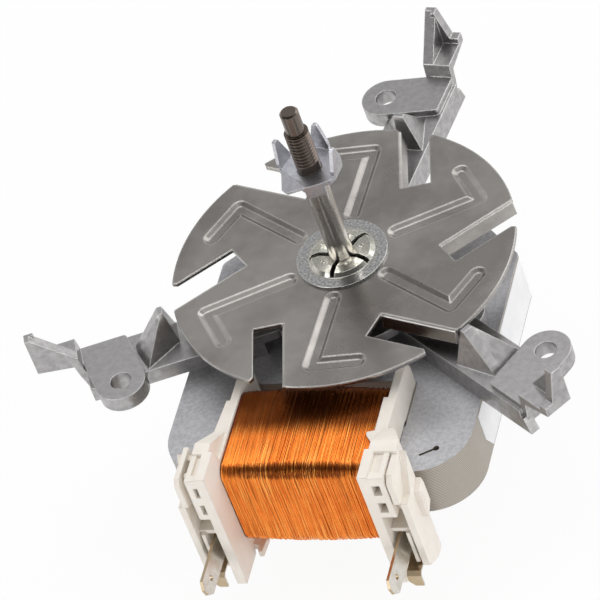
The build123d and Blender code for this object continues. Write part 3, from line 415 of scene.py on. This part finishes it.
@dataclass(frozen=True)
class WoundWire(Surface):
    """Enamelled wire with a painted highlight on some strands, painted shade between them and painted shade
    over parts of the coil.

    Attributes:
        strand_mm: How wide one shade is across the strands.
        run_mm: How long one shade is along them.
        lean: How far the strands lean sideways, as a share of their run.
        shade: The dark brown of the painted shade and the painted dark reflection on the winding.
        shade_range: Noise values at which the painted shade between strands starts and is full.
        shade_share: How much of its colour shows between the strands.
        strand_highlight: The pale gold of the painted highlight on the brightest strands.
        strand_highlight_range: Noise values at which a strand's painted highlight starts and is full.
        corner_mm: Z less Y at the middle of the painted dark reflection along the front corner.
        corner_reflection_fray_mm: How far the strands fray that painted reflection.
        corner_reflection_range_mm: Frayed distances from its middle at which the painted reflection starts
            and is full.
        corner_reflection_share: How much of the shade colour shows in it.
        disc_shade_fray_mm: How far the strands fray the edge of the painted shade under the disc.
        disc_shade_range_mm: Frayed Y at which the painted shade under the disc starts and is full, darker
            towards the back.
        disc_shade_share: How much of the shade colour shows there.
    """

    strand_mm: float = 0.32
    run_mm: float = 16.0
    lean: float = 0.03
    # Colour of the painted shade between strands, under the disc and along the front corner.
    shade: str = "#5e2409"
    shade_range: Range = (0.44, 0.28)
    shade_share: float = 0.55
    # Painted highlight on the brightest strands.
    strand_highlight: str = "#ffb860"
    strand_highlight_range: Range = (0.54, 0.68)
    # Painted dark reflection along the coil's front corner.
    corner_mm: float = 60.1
    corner_reflection_fray_mm: float = 2.4
    corner_reflection_range_mm: Range = (2.2, 1.35)
    corner_reflection_share: float = 0.85
    # Painted shade under the disc, darker towards the coil's back.
    disc_shade_fray_mm: float = 7.0
    disc_shade_range_mm: Range = (-56.0, -50.0)
    disc_shade_share: float = 0.85

    def strands(self, tree: Tree, coords: Socket) -> Socket:
        """Draws noise out along the wire's way round the bobbin.

        Args:
            tree: The node tree.
            coords: Coordinates in the part's frame.

        Returns:
            The noise, 0 to 1.
        """
        split = add_node(tree, "ShaderNodeSeparateXYZ", {0: coords})
        way = add_node(tree, "ShaderNodeMath", {0: split.outputs["Y"], 1: split.outputs["Z"]},
                       operation="SUBTRACT")
        across = add_node(tree, "ShaderNodeMath", {0: way, 1: self.lean, 2: split.outputs["X"]},
                          operation="MULTIPLY_ADD")
        along = add_node(tree, "ShaderNodeMath", {0: way, 1: self.strand_mm / self.run_mm},
                         operation="MULTIPLY")
        place = add_node(tree, "ShaderNodeCombineXYZ", {0: across, 1: along})
        return add_node(tree, "ShaderNodeTexNoise", {"Vector": place, "Scale": per_mm(self.strand_mm),
                                                     "Detail": FINE_DETAIL}).outputs[0]

    def relief(self, tree: Tree, coords: Socket) -> Socket:
        """Returns the height of the strands."""
        return self.strands(tree, coords)

    def painted_shade_mask(self, tree: Tree, coords: Socket, strands: Socket) -> Socket:
        """Works out where the painted shade under the disc and the painted dark reflection along the front
        corner lie.

        Args:
            tree: The node tree.
            coords: Coordinates in the part's frame.
            strands: The strands' noise, which frays their edges.

        Returns:
            The share of painted shade, 0 to 1.
        """
        split = add_node(tree, "ShaderNodeSeparateXYZ", {0: coords})
        # Painted dark reflection: a band along the coil's front corner, frayed by the strands.
        slant = add_node(tree, "ShaderNodeMath", {0: split.outputs["Z"], 1: split.outputs["Y"]},
                         operation="SUBTRACT")
        off = add_node(tree, "ShaderNodeMath", {0: slant, 1: self.corner_mm * MM}, operation="SUBTRACT")
        off = add_node(tree, "ShaderNodeMath", {0: off}, operation="ABSOLUTE")
        frayed = add_node(tree, "ShaderNodeMath", {0: strands, 1: self.corner_reflection_fray_mm * MM, 2: off},
                          operation="MULTIPLY_ADD")
        line = add_node(tree, "ShaderNodeMapRange", {
            "Value": frayed, "From Min": self.corner_reflection_range_mm[0] * MM,
            "From Max": self.corner_reflection_range_mm[1] * MM, "To Max": self.corner_reflection_share})
        # Painted shade under the disc: darker towards the coil's back, frayed by the strands.
        depth = add_node(tree, "ShaderNodeMath", {
            0: strands, 1: -self.disc_shade_fray_mm * MM, 2: split.outputs["Y"]}, operation="MULTIPLY_ADD")
        disc_shade = add_node(tree, "ShaderNodeMapRange", {
            "Value": depth, "From Min": self.disc_shade_range_mm[0] * MM, "From Max": self.disc_shade_range_mm[1] * MM,
            "To Max": self.disc_shade_share}, interpolation_type="SMOOTHSTEP")
        return add_node(tree, "ShaderNodeMath", {0: line, 1: disc_shade}, operation="MAXIMUM").outputs[0]

    def mark(self, tree: Tree, coords: Socket, colour: Socket) -> Socket:
        """Adds a painted highlight on bright strands, painted shade between them and painted shade over
        them.

        Args:
            tree: The node tree.
            coords: Coordinates in the part's frame.
            colour: The colour of the enamel.

        Returns:
            The colour of the winding.
        """
        strands = self.strands(tree, coords)
        # Painted highlight on the brightest strands.
        bright = add_node(tree, "ShaderNodeMapRange", {
            "Value": strands, "From Min": self.strand_highlight_range[0], "From Max": self.strand_highlight_range[1]})
        lit = add_node(tree, "ShaderNodeMix", {0: bright, 6: colour, 7: linear(self.strand_highlight)},
                       data_type="RGBA").outputs[2]
        # Painted shade between the strands, joined with the painted shade under the disc and the painted
        # corner reflection.
        gaps = add_node(tree, "ShaderNodeMapRange", {
            "Value": strands, "From Min": self.shade_range[0], "From Max": self.shade_range[1],
            "To Max": self.shade_share})
        dark = add_node(tree, "ShaderNodeMath", {0: gaps, 1: self.painted_shade_mask(tree, coords, strands)},
                        operation="MAXIMUM")
        return add_node(tree, "ShaderNodeMix", {0: dark, 6: lit, 7: linear(self.shade)},
                        data_type="RGBA").outputs[2]


@dataclass(frozen=True)
class BlackenedBar(Surface):
    """Ground bar whose threaded end is blackened.

    Attributes:
        oxide: The brown-black of the oxide.
        oxide_range_mm: Heights at which the oxide starts and is full.
        ring_stretch: The scale along the grinding's rings, as a share of the scale across them.
    """

    oxide: str = "#726861"
    oxide_range_mm: Range = (34.8, 35.2)
    ring_stretch: float = 0.02

    def mark(self, tree: Tree, coords: Socket, colour: Socket) -> Socket:
        """Adds the oxide above its height.

        Args:
            tree: The node tree.
            coords: Coordinates in the part's frame.
            colour: The colour of the ground bar.

        Returns:
            The colour of both.
        """
        height = add_node(tree, "ShaderNodeSeparateXYZ", {0: coords}).outputs["Z"]
        above = add_node(tree, "ShaderNodeMapRange", {
            "Value": height, "From Min": self.oxide_range_mm[0] * MM,
            "From Max": self.oxide_range_mm[1] * MM})
        return add_node(tree, "ShaderNodeMix", {0: above, 6: colour, 7: linear(self.oxide)},
                        data_type="RGBA").outputs[2]

    def relief(self, tree: Tree, coords: Socket) -> Socket:
        """Draws the fine rings that grinding leaves.

        Args:
            tree: The node tree.
            coords: Coordinates in the part's frame.

        Returns:
            The height of the rings.
        """
        stretch = (self.ring_stretch, self.ring_stretch, 1.0)
        rings = add_node(tree, "ShaderNodeVectorMath", {0: coords, 1: stretch}, operation="MULTIPLY")
        return self.grain(tree, rings.outputs[0], self.grain_mm)


@dataclass(frozen=True)
class PassivatedWasher(Surface):
    """Zinc plate whose dome keeps a faint yellow film.

    Attributes:
        film: The colour of the film.
        film_range_mm: Radii at which it starts and is full.
        film_share: How much of its colour shows.
    """

    film: str = "#cdc8ad"
    film_range_mm: Range = (9.2, 7.6)
    film_share: float = 0.4

    def mark(self, tree: Tree, coords: Socket, colour: Socket) -> Socket:
        """Adds the film inside its radius about the shaft.

        Args:
            tree: The node tree.
            coords: Coordinates in the part's frame.
            colour: The colour of the plated rim.

        Returns:
            The colour of both.
        """
        flat = add_node(tree, "ShaderNodeVectorMath", {0: coords, 1: (1.0, 1.0, 0.0)},
                        operation="MULTIPLY")
        reach = add_node(tree, "ShaderNodeVectorMath", {0: flat}, operation="LENGTH").outputs["Value"]
        inside = add_node(tree, "ShaderNodeMapRange", {
            "Value": reach, "From Min": self.film_range_mm[0] * MM, "From Max": self.film_range_mm[1] * MM,
            "To Max": self.film_share})
        return add_node(tree, "ShaderNodeMix", {0: inside, 6: colour, 7: linear(self.film)},
                        data_type="RGBA").outputs[2]


@dataclass(frozen=True)
class PlatedStrip(Surface):
    """Tin-plated strip with bare metal where it was cut.

    Attributes:
        cut: The colour of the cut edges.
        cut_range: How sideways a normal is where the plate ends and where the cut starts.
        cut_share: How much of the cut's colour shows.
    """

    cut: str = "#b59a6c"
    cut_range: Range = (0.7, 0.4)
    cut_share: float = 0.7

    def mark(self, tree: Tree, coords: Socket, colour: Socket) -> Socket:
        """Adds bare metal on faces that don't look sideways.

        Args:
            tree: The node tree.
            coords: Coordinates in the part's frame.
            colour: The colour of the plate.

        Returns:
            The colour of both.
        """
        normal = add_node(tree, "ShaderNodeNewGeometry").outputs["Normal"]
        across = add_node(tree, "ShaderNodeSeparateXYZ", {0: normal}).outputs["X"]
        sideways = add_node(tree, "ShaderNodeMath", {0: across}, operation="ABSOLUTE")
        bare = add_node(tree, "ShaderNodeMapRange", {
            "Value": sideways, "From Min": self.cut_range[0], "From Max": self.cut_range[1],
            "To Max": self.cut_share})
        return add_node(tree, "ShaderNodeMix", {0: bare, 6: colour, 7: linear(self.cut)},
                        data_type="RGBA").outputs[2]


SURFACES: Dict[Finish, Surface] = {
    # Steel sheet, cold-rolled and pressed: warm mid-grey, satin, with soft clouds, a few specks, and paler
    # edges that are partly wear and partly a painted highlight.
    Finish.DISC: RolledSheet("#b2aea9", "#8d8985", cloud_mm=22.0, roughness=0.25, grain_strength=0.10,
                             grain_depth_mm=0.03, edge_mm=0.6, edge_wear_highlight_colour="#dedbd7"),
    # Aluminium alloy, die-cast: even bluish mid-grey with a soft sheen, and paler edges that are partly
    # rubbed wear and partly a painted highlight.
    Finish.CASTING: Surface("#b6b4b4", "#a19f9f", cloud_mm=1.8, roughness=0.33, roughness_spread=0.06,
                            grain_mm=1.2, grain_strength=0.35, grain_depth_mm=0.08, edge_mm=0.4,
                            edge_wear_highlight_colour="#e6e5e4"),
    # Silicon steel sheet, stamped and stacked: pale speckled faces, warm sides lined sheet by sheet.
    Finish.LAMINATION: SheetStack("#c4c4c7", "#b3b3b6", cloud_mm=0.9, metallic=0.8, roughness=0.5,
                                  grain_mm=0.5, grain_strength=0.25, edge_mm=0.2),
    # Copper wire, enamelled: clear orange, with a painted highlight on some strands, painted shade between
    # them, painted shade under the disc and a painted dark reflection along the front corner.
    Finish.WIRE: WoundWire("#fd9c44", "#f58d38", cloud_mm=5.0, metallic=0.95, roughness=0.24,
                           grain_strength=0.1, edge_mm=0.02),
    # Copper wire under the outer strands: brown layers whose darker colour is painted shade between the
    # strands.
    Finish.WOUND_CORE: WoundWire("#8c4418", "#6e2f10", cloud_mm=4.0, metallic=0.6, roughness=0.4,
                                 grain_strength=0.5, edge_mm=0.1, strand_highlight="#a85a24"),
    # Polyamide, injection-moulded: warm white, half matt, and light goes a little way in.
    Finish.BOBBIN: Surface("#f6efe6", "#f0e8dd", cloud_mm=8.0, metallic=0.0, roughness=0.45,
                           roughness_spread=0.04, grain_mm=0.6, grain_strength=0.08, edge_mm=0.3, ior=1.53,
                           subsurface=0.15),
    # Brass strip, tin-plated and stamped: pale silver faces with a hint of brass on the cut edges.
    Finish.TERMINAL: PlatedStrip("#dcd8d0", "#cdc7bc", cloud_mm=2.0, roughness=0.32, grain_strength=0.08,
                                 edge_mm=0.12),
    # Spring steel, zinc-plated and passivated: bright speckled rim and a faintly yellow dome, with paler
    # edges that are partly wear and partly a painted highlight.
    Finish.WASHER: PassivatedWasher("#dcdcdb", "#a8a8a6", cloud_mm=0.6, roughness=0.15,
                                    roughness_spread=0.06, grain_mm=0.5, grain_strength=0.12, edge_mm=0.25,
                                    edge_wear_highlight_colour="#e6e5e1"),
    # Spring steel, zinc-plated: plain bright grey.
    Finish.SPRING: Surface("#c4c4c2", "#aaa9a6", cloud_mm=0.9, roughness=0.3, edge_mm=0.15),
    # Carbon steel bar, ground, its threaded end blackened: long bright lines below, dark thread above.
    Finish.SHAFT: BlackenedBar("#dedad5", "#d2cec9", cloud_mm=4.0, roughness=0.25, roughness_spread=0.03,
                               grain_mm=0.5, grain_strength=0.05, edge_mm=0.12),
    # Steel sheet, zinc-plated and pressed: light cool grey, with paler edges that are partly wear and
    # partly a painted highlight.
    Finish.STAR: Surface("#d3d3d8", "#bdbdc3", cloud_mm=1.6, roughness=0.32, roughness_spread=0.06,
                         grain_strength=0.2, edge_mm=0.25, edge_wear_highlight_colour="#dddde0"),
    # Paper, coated: plain white with a soft sheen.
    Finish.PAPER: Surface("#f1f1f2", "#ebebec", cloud_mm=6.0, metallic=0.0, roughness=0.6, grain_mm=0.3,
                          grain_strength=0.05, edge_mm=0.05, ior=1.5),
    # Steel, zinc-plated and headed: plain cool grey.
    Finish.FASTENER: Surface("#b4b7bb", "#9a9da2", cloud_mm=1.5, roughness=0.35, edge_mm=0.15),
    # Bronze powder, sintered: brown and faintly porous.
    Finish.BRONZE: Surface("#9a7448", "#7d5c38", cloud_mm=0.8, roughness=0.55, grain_mm=0.3,
                           grain_strength=0.5),
    # Wool felt, oiled: straw colour and fully matt.
    Finish.FELT: Surface("#b9a981", "#a1916a", cloud_mm=0.8, metallic=0.0, roughness=0.94, grain_mm=0.3,
                         grain_strength=0.9, ior=1.45),
    # Copper bar, drawn: bare pink-brown metal.
    Finish.COPPER: Surface("#b87a55", "#99603f", cloud_mm=1.2, roughness=0.4, edge_mm=0.15),
    # Brass tube, turned: yellow and bright.
    Finish.BRASS: Surface("#c9a55a", "#b18d46", cloud_mm=1.5, roughness=0.3, edge_mm=0.1),
    # Vulcanised fibre, punched: dark red-brown and matt.
    Finish.FIBRE: Surface("#6e3a26", "#5a2e1e", cloud_mm=1.0, metallic=0.0, roughness=0.7, edge_mm=0.1,
                          ior=1.5),
}


@dataclass
class SubAssembly:
    """Some CAD nodes that belong together and the finish of each."""

    title: ClassVar[str] = "sub-assembly"
    finishes: ClassVar[Dict[str, Finish]] = {}

    def material(self, finish: Finish) -> bpy.types.Material:
        """Returns the finish's material, built once for the whole scene."""
        known = bpy.data.materials.get(finish.value)
        return known if known is not None else SURFACES[finish].build(finish.value)

    def dress(self) -> None:
        """Gives each CAD node its material."""
        for node, finish in self.finishes.items():
            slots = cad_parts[node].data.materials
            slots.clear()
            slots.append(self.material(finish))
            LOG.info("%s: %s is %s", self.title, node, finish.value)

    def build(self) -> None:
        """Dresses the nodes; a sub-assembly with pieces of its own builds them too."""
        self.dress()


@dataclass
class CoolingDisc(SubAssembly):
    """The pressed disc with its washer, seat and clip on the shaft."""

    title: ClassVar[str] = "cooling disc"
    finishes: ClassVar[Dict[str, Finish]] = {"cooling_disc": Finish.DISC, "hub_washer": Finish.WASHER,
                                             "disc_seat": Finish.SPRING, "retaining_clip": Finish.SPRING}


@dataclass
class DriveEnd(SubAssembly):
    """The shaft and the star that drives the oven's fan wheel."""

    title: ClassVar[str] = "drive end"
    finishes: ClassVar[Dict[str, Finish]] = {"shaft": Finish.SHAFT, "star_driver": Finish.STAR}


@dataclass
class Brackets(SubAssembly):
    """The two castings and the screws and nuts that hold them."""

    title: ClassVar[str] = "brackets"
    finishes: ClassVar[Dict[str, Finish]] = {
        "front_bracket": Finish.CASTING, "rear_bracket": Finish.CASTING, "bracket_screws": Finish.FASTENER,
        "bracket_nuts": Finish.FASTENER}


@dataclass
class Stator(SubAssembly):
    """The stack, the bar through the bobbin, the rivets, the shading rings and the bare label."""

    title: ClassVar[str] = "stator"
    finishes: ClassVar[Dict[str, Finish]] = {
        "stator_core": Finish.LAMINATION, "coil_core": Finish.LAMINATION, "stack_rivets": Finish.FASTENER,
        "shading_rings": Finish.COPPER, "rating_label": Finish.PAPER}


@dataclass
class Rotor(SubAssembly):
    """The squirrel-cage rotor inside the stack."""

    title: ClassVar[str] = "rotor"
    finishes: ClassVar[Dict[str, Finish]] = {"rotor_core": Finish.LAMINATION, "rotor_cage": Finish.CASTING,
                                             "rotor_spacers": Finish.BRASS, "thrust_washers": Finish.FIBRE}


@dataclass
class Bearings(SubAssembly):
    """The two self-aligning bearings with their felts and retainers."""

    title: ClassVar[str] = "bearings"
    finishes: ClassVar[Dict[str, Finish]] = {
        "front_bearing": Finish.BRONZE, "rear_bearing": Finish.BRONZE, "front_felt": Finish.FELT,
        "rear_felt": Finish.FELT, "front_retainer": Finish.SPRING, "rear_retainer": Finish.SPRING}


@dataclass
class Winding(SubAssembly):
    """The coil, its bobbin and terminals, and the wire that is wound round the coil's outside.

    Attributes:
        wire_mm: The wire's thickness over its enamel.
        corner_mm: The radius of the coil's long corners.
        crown_mm: How much lower the coil is at its ends than in its middle.
        end_gap_mm: The space between the outermost turn and the bobbin's flange.
        full_pitch: The pitch of the full layer, in wires.
        full_sway_mm: How far its strands sway together from side to side.
        loose_pitch_mm: The pitch of the sparse top layer that crosses the full one.
        loose_lift: How far that layer lies outside the full one, in wires.
        loose_sway_mm: How far its strands sway together.
        raise_mm: How far a strand rises out of its layer and sinks into it.
        alone_share: How far each strand sways by itself, as a share of how far they sway together.
        sway_noise: Noise scale of the common sway, per mm along the coil and round a turn.
        alone_noise: The same for each strand by itself.
        raise_noise: The same for its rise.
        raise_offset: Where the rise's noise starts, so that it doesn't follow the sway's.
        corner_steps: Points on each corner of one turn.
        side_steps: Points on each straight side of one turn.
        tube_sides: Sides of the wire's section.
    """

    title: ClassVar[str] = "winding"
    finishes: ClassVar[Dict[str, Finish]] = {
        "coil": Finish.WOUND_CORE, "bobbin": Finish.BOBBIN, "terminal_tab_left": Finish.TERMINAL,
        "terminal_tab_right": Finish.TERMINAL, "terminal_clip_left": Finish.TERMINAL,
        "terminal_clip_right": Finish.TERMINAL}
    wire_mm: float = 0.31
    corner_mm: float = 3.2
    crown_mm: float = 0.4
    end_gap_mm: float = 0.15
    full_pitch: float = 0.95
    full_sway_mm: float = 0.5
    loose_pitch_mm: float = 1.1
    loose_lift: float = 0.55
    loose_sway_mm: float = 1.1
    raise_mm: float = 0.12
    alone_share: float = 0.2
    sway_noise: Range = (0.22, 1.4)
    alone_noise: Range = (4.3, 1.1)
    raise_noise: Range = (3.1, 1.0)
    raise_offset: float = 50.0
    corner_steps: int = 6
    side_steps: int = 5
    tube_sides: int = 6

    def outline(self, inset_mm: float) -> Path:
        """Works out one turn's places round the coil and the way out from each.

        Args:
            inset_mm: How far inside the coil's largest section the turn lies.

        Returns:
            Points in metres with X at 0, each with its outward direction.
        """
        low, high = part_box("coil")
        inset = inset_mm * MM
        radius = self.corner_mm * MM
        back, front = high[1] - inset, low[1] + inset
        top, bottom = high[2] - inset, low[2] + inset
        centres = [(front + radius, top - radius, 90.0), (front + radius, bottom + radius, 180.0),
                   (back - radius, bottom + radius, 270.0), (back - radius, top - radius, 0.0)]
        corners = []
        for y, z, start in centres:
            arc = [math.radians(start + 90.0 * k / self.corner_steps) for k in range(self.corner_steps + 1)]
            corners.append([(Vector((0.0, y, z)), Vector((0.0, math.cos(a), math.sin(a)))) for a in arc])
        turn = []
        for index, corner in enumerate(corners):
            turn.extend((c + way * radius, way) for c, way in corner)
            start = corner[-1][0] + corner[-1][1] * radius
            after = corners[(index + 1) % len(corners)][0]
            end = after[0] + after[1] * radius
            turn.extend((start.lerp(end, k / self.side_steps), corner[-1][1])
                        for k in range(1, self.side_steps))
        return turn

    def waver(self, scale: Range, across: float, way: Vector, shift: Range = (0.0, 0.0)) -> float:
        """Reads a smooth noise at one place of the winding.

        Args:
            scale: The noise's scale, per mm along the coil and round a turn.
            across: The place along the coil in mm.
            way: The outward direction there.
            shift: How far the noise is moved, along the coil and upward.

        Returns:
            The noise, -1 to 1.
        """
        along, turned = scale
        return smooth_noise(Vector((across * along + shift[0], way.y * turned,
                                    way.z * turned + shift[1])))

    def wound_path(self, pitch_mm: float, lift_mm: float, sway_mm: float) -> Path:
        """Lays one layer of wire from end to end of the bobbin.

        Args:
            pitch_mm: How far the wire moves along in one turn.
            lift_mm: How far the wire's middle lies outside the coil.
            sway_mm: How far the strands sway together from side to side.

        Returns:
            The wire's points with their outward directions.
        """
        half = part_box("coil")[1][0] / MM - self.end_gap_mm - self.wire_mm / 2
        turns = int(2 * half / pitch_mm)
        path = []
        for turn in range(turns):
            start = -half + turn * pitch_mm
            bend = (start / half) ** 2
            ring = self.outline(self.crown_mm * bend)
            for step, (place, way) in enumerate(ring):
                across = start + pitch_mm * step / len(ring)
                together = self.waver(self.sway_noise, across, way)
                alone = self.waver(self.alone_noise, across, way, (0.0, lift_mm))
                raised = self.waver(self.raise_noise, across, way, (self.raise_offset, 0.0))
                along = across + sway_mm * (together + self.alone_share * alone)
                shift = Vector((max(-half, min(half, along)) * MM, 0.0, 0.0))
                path.append((place + way * (lift_mm + self.raise_mm * raised) * MM + shift, way))
        return path

    def add_tube(self, path: Path, points: List[Vector], faces: List[Tuple[int, ...]]) -> None:
        """Adds a closed tube along a path to a mesh's points and faces.

        Args:
            path: The tube's middle line with the outward direction at each point.
            points: The mesh's points so far.
            faces: The mesh's faces so far.
        """
        sides = self.tube_sides
        radius = self.wire_mm / 2 * MM
        first = len(points)
        for place, way in path:
            for side in range(sides):
                angle = math.tau * side / sides
                spoke = way * math.cos(angle) + Vector((math.sin(angle), 0.0, 0.0))
                points.append(place + spoke * radius)
        for ring in range(len(path) - 1):
            for side in range(sides):
                a = first + ring * sides + side
                b = first + ring * sides + (side + 1) % sides
                faces.append((a, b, b + sides, a + sides))
        last = len(points) - sides
        faces.append(tuple(first + side for side in reversed(range(sides))))
        faces.append(tuple(last + side for side in range(sides)))

    def wind(self) -> bpy.types.Object:
        """Builds the full layer and the sparse one over it as one piece.

        Returns:
            The piece, which rides with the motor's frame.
        """
        points: List[Vector] = []
        faces: List[Tuple[int, ...]] = []
        full = self.wound_path(self.wire_mm * self.full_pitch, 0.0, self.full_sway_mm)
        loose = self.wound_path(self.loose_pitch_mm, self.wire_mm * self.loose_lift, self.loose_sway_mm)
        self.add_tube(full, points, faces)
        self.add_tube(loose, points, faces)
        mesh = bpy.data.meshes.new("coil_wire")
        mesh.from_pydata(points, [], faces)
        mesh.shade_smooth()
        wire = bpy.data.objects.new("coil_wire", mesh)
        bpy.context.scene.collection.objects.link(wire)
        mesh.materials.append(self.material(Finish.WIRE))
        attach(wire, "frame")
        LOG.info("%s: coil_wire has %d faces", self.title, len(faces))
        return wire

    def build(self) -> None:
        """Dresses the nodes and winds the wire."""
        self.dress()
        self.wind()


@dataclass(frozen=True)
class SoftBox:
    """A square lamp that faces the part.

    Attributes:
        name: Its name.
        at: Its place in metres.
        size: Its side in metres.
        power: Its power in watts.
    """

    name: str
    at: Place
    size: float
    power: float

    def hang(self) -> None:
        """Hangs the lamp in the scene."""
        data = bpy.data.lights.new(self.name, "AREA")
        data.shape = "SQUARE"
        data.size = self.size
        data.energy = self.power
        lamp = bpy.data.objects.new(self.name, data)
        lamp.location = self.at
        lamp.rotation_euler = (-Vector(self.at)).to_track_quat("-Z", "Y").to_euler()
        bpy.context.scene.collection.objects.link(lamp)


@dataclass
class Studio:
    """Floor, light and camera.

    Attributes:
        floor_z: Height of the floor in metres.
        floor_half: Half the floor's side in metres.
        floor_colour: The pale floor.
        floor_glow: How much of the floor's own white the camera and the metal see.
        sky: The light's colour at heights from the horizon, 0, to overhead, 1.
        dark_side: The way to the unlit gap between the front light and the top one.
        dark_across: The way across that gap.
        dark_share: How much darker the gap is.
        dark_light: The light that is left in it.
        dark_front: How far a way faces the gap's side where the gap starts and is full.
        dark_edge: How far a way lies across the gap where it starts and is full.
        lamps: The lamps.
        camera_at: Where the camera stands.
        camera_aim: What it looks at.
        camera_roll: Its turn about its own axis, in degrees.
        camera_lens: Its focal length in mm.
        camera_sensor: Its sensor's width in mm.
        camera_reach: How far it sees, in metres.
    """

    floor_z: float = -0.045
    floor_half: float = 3.0
    floor_colour: str = "#f7f7f7"
    floor_glow: float = 0.93
    sky: Tuple[Tuple[float, str], ...] = (
        (0.0, "#ffffff"), (0.3, "#ececec"), (0.6, "#b4b4b5"), (0.8, "#c4c4c5"), (1.0, "#f4f4f4"))
    dark_side: Place = (0.0, -0.69, 0.72)
    dark_across: Place = (0.0, 0.72, 0.69)
    dark_share: float = 0.85
    dark_light: float = 0.03
    dark_front: Range = (0.2, 0.6)
    dark_edge: Range = (0.42, 0.22)
    lamps: Tuple[SoftBox, ...] = (
        SoftBox("soft_box_overhead", (-0.10, 0.22, 1.0), 0.8, 3.4),
        SoftBox("soft_box_back_right", (0.66, 0.78, 0.62), 0.9, 3.4),
        SoftBox("soft_box_front_left", (-0.75, -0.95, 0.35), 0.6, 3.0),
        SoftBox("soft_box_front_right", (1.05, -0.55, 0.25), 0.7, 3.4))
    camera_at: Place = (0.35105, -0.69248, 0.7109)
    camera_aim: Place = (-0.00853, -0.01220, 0.00386)
    camera_roll: float = -21.4
    camera_lens: float = 265.9
    camera_sensor: float = 36.0
    camera_reach: float = 20.0

    def lay_floor(self) -> None:
        """Lays the pale floor, which is white to the camera and the metal and still takes the shadow."""
        half = self.floor_half
        corners = ((-half, -half), (half, -half), (half, half), (-half, half))
        mesh = bpy.data.meshes.new("floor")
        mesh.from_pydata([(x, y, self.floor_z) for x, y in corners], [], [(0, 1, 2, 3)])
        floor = bpy.data.objects.new("floor", mesh)
        bpy.context.scene.collection.objects.link(floor)
        material = bpy.data.materials.new("floor_paper_matt")
        material.use_nodes = True
        tree = material.node_tree
        tree.nodes.clear()
        paper = add_node(tree, "ShaderNodeBsdfDiffuse", {"Color": linear(self.floor_colour)})
        rays = add_node(tree, "ShaderNodeLightPath")
        seen = add_node(tree, "ShaderNodeMath", {0: rays.outputs["Is Camera Ray"],
                                                 1: rays.outputs["Is Glossy Ray"]}, operation="MAXIMUM")
        seen = add_node(tree, "ShaderNodeMath", {0: seen, 1: rays.outputs["Is Transmission Ray"]},
                        operation="MAXIMUM")
        glow = add_node(tree, "ShaderNodeEmission", {"Color": linear("#ffffff"), "Strength": 1.0})
        share = add_node(tree, "ShaderNodeMath", {0: seen, 1: self.floor_glow}, operation="MULTIPLY")
        blend = add_node(tree, "ShaderNodeMixShader", {0: share, 1: paper, 2: glow})
        add_node(tree, "ShaderNodeOutputMaterial", {"Surface": blend})
        mesh.materials.append(material)

    def light_world(self) -> None:
        """Fills the world with soft light, pale near the horizon and greyer above, with one unlit side."""
        world = bpy.data.worlds.new("studio")
        bpy.context.scene.world = world
        world.use_nodes = True
        tree = world.node_tree
        tree.nodes.clear()
        way = add_node(tree, "ShaderNodeTexCoord").outputs["Generated"]
        height = add_node(tree, "ShaderNodeSeparateXYZ", {0: way}).outputs["Z"]
        sky = add_node(tree, "ShaderNodeValToRGB", {"Fac": height})
        stops = sky.color_ramp.elements
        while len(stops) < len(self.sky):
            stops.new(0.5)
        for stop, (place, colour) in zip(stops, self.sky):
            stop.position = place
            stop.color = linear(colour)
        facing = add_node(tree, "ShaderNodeVectorMath", {0: way, 1: self.dark_side},
                          operation="DOT_PRODUCT")
        front = add_node(tree, "ShaderNodeMapRange", {
            "Value": facing.outputs["Value"], "From Min": self.dark_front[0],
            "From Max": self.dark_front[1], "To Max": self.dark_share}, interpolation_type="SMOOTHSTEP")
        off = add_node(tree, "ShaderNodeVectorMath", {0: way, 1: self.dark_across},
                       operation="DOT_PRODUCT")
        off = add_node(tree, "ShaderNodeMath", {0: off.outputs["Value"]}, operation="ABSOLUTE")
        strip = add_node(tree, "ShaderNodeMapRange", {
            "Value": off, "From Min": self.dark_edge[0], "From Max": self.dark_edge[1]},
            interpolation_type="SMOOTHSTEP")
        dark = add_node(tree, "ShaderNodeMath", {0: front, 1: strip}, operation="MULTIPLY")
        left = (self.dark_light, self.dark_light, self.dark_light, 1.0)
        light = add_node(tree, "ShaderNodeMix", {0: dark, 6: sky, 7: left}, data_type="RGBA").outputs[2]
        back = add_node(tree, "ShaderNodeBackground", {"Color": light, "Strength": 1.0})
        add_node(tree, "ShaderNodeOutputWorld", {"Surface": back})

    def place_camera(self) -> None:
        """Puts the camera at the photograph's angle and framing."""
        data = bpy.data.cameras.new("photo_camera")
        data.lens = self.camera_lens
        data.sensor_width = self.camera_sensor
        data.clip_end = self.camera_reach
        camera = bpy.data.objects.new("photo_camera", data)
        camera.location = self.camera_at
        look = (Vector(self.camera_aim) - Vector(self.camera_at)).to_track_quat("-Z", "Y")
        camera.rotation_mode = "QUATERNION"
        camera.rotation_quaternion = look @ Quaternion((0, 0, 1), math.radians(self.camera_roll))
        bpy.context.scene.collection.objects.link(camera)
        bpy.context.scene.camera = camera

    def build(self) -> None:
        """Builds the floor, world, lamps and camera."""
        self.lay_floor()
        self.light_world()
        for lamp in self.lamps:
            lamp.hang()
        self.place_camera()
        bpy.context.scene.view_settings.view_transform = "Standard"


def main() -> None:
    logging.basicConfig(level=logging.INFO, format="%(name)s: %(message)s")
    for kind in (CoolingDisc, DriveEnd, Brackets, Stator, Winding, Rotor, Bearings):
        kind().build()
    Studio().build()


if __name__ == "__main__":
    main()
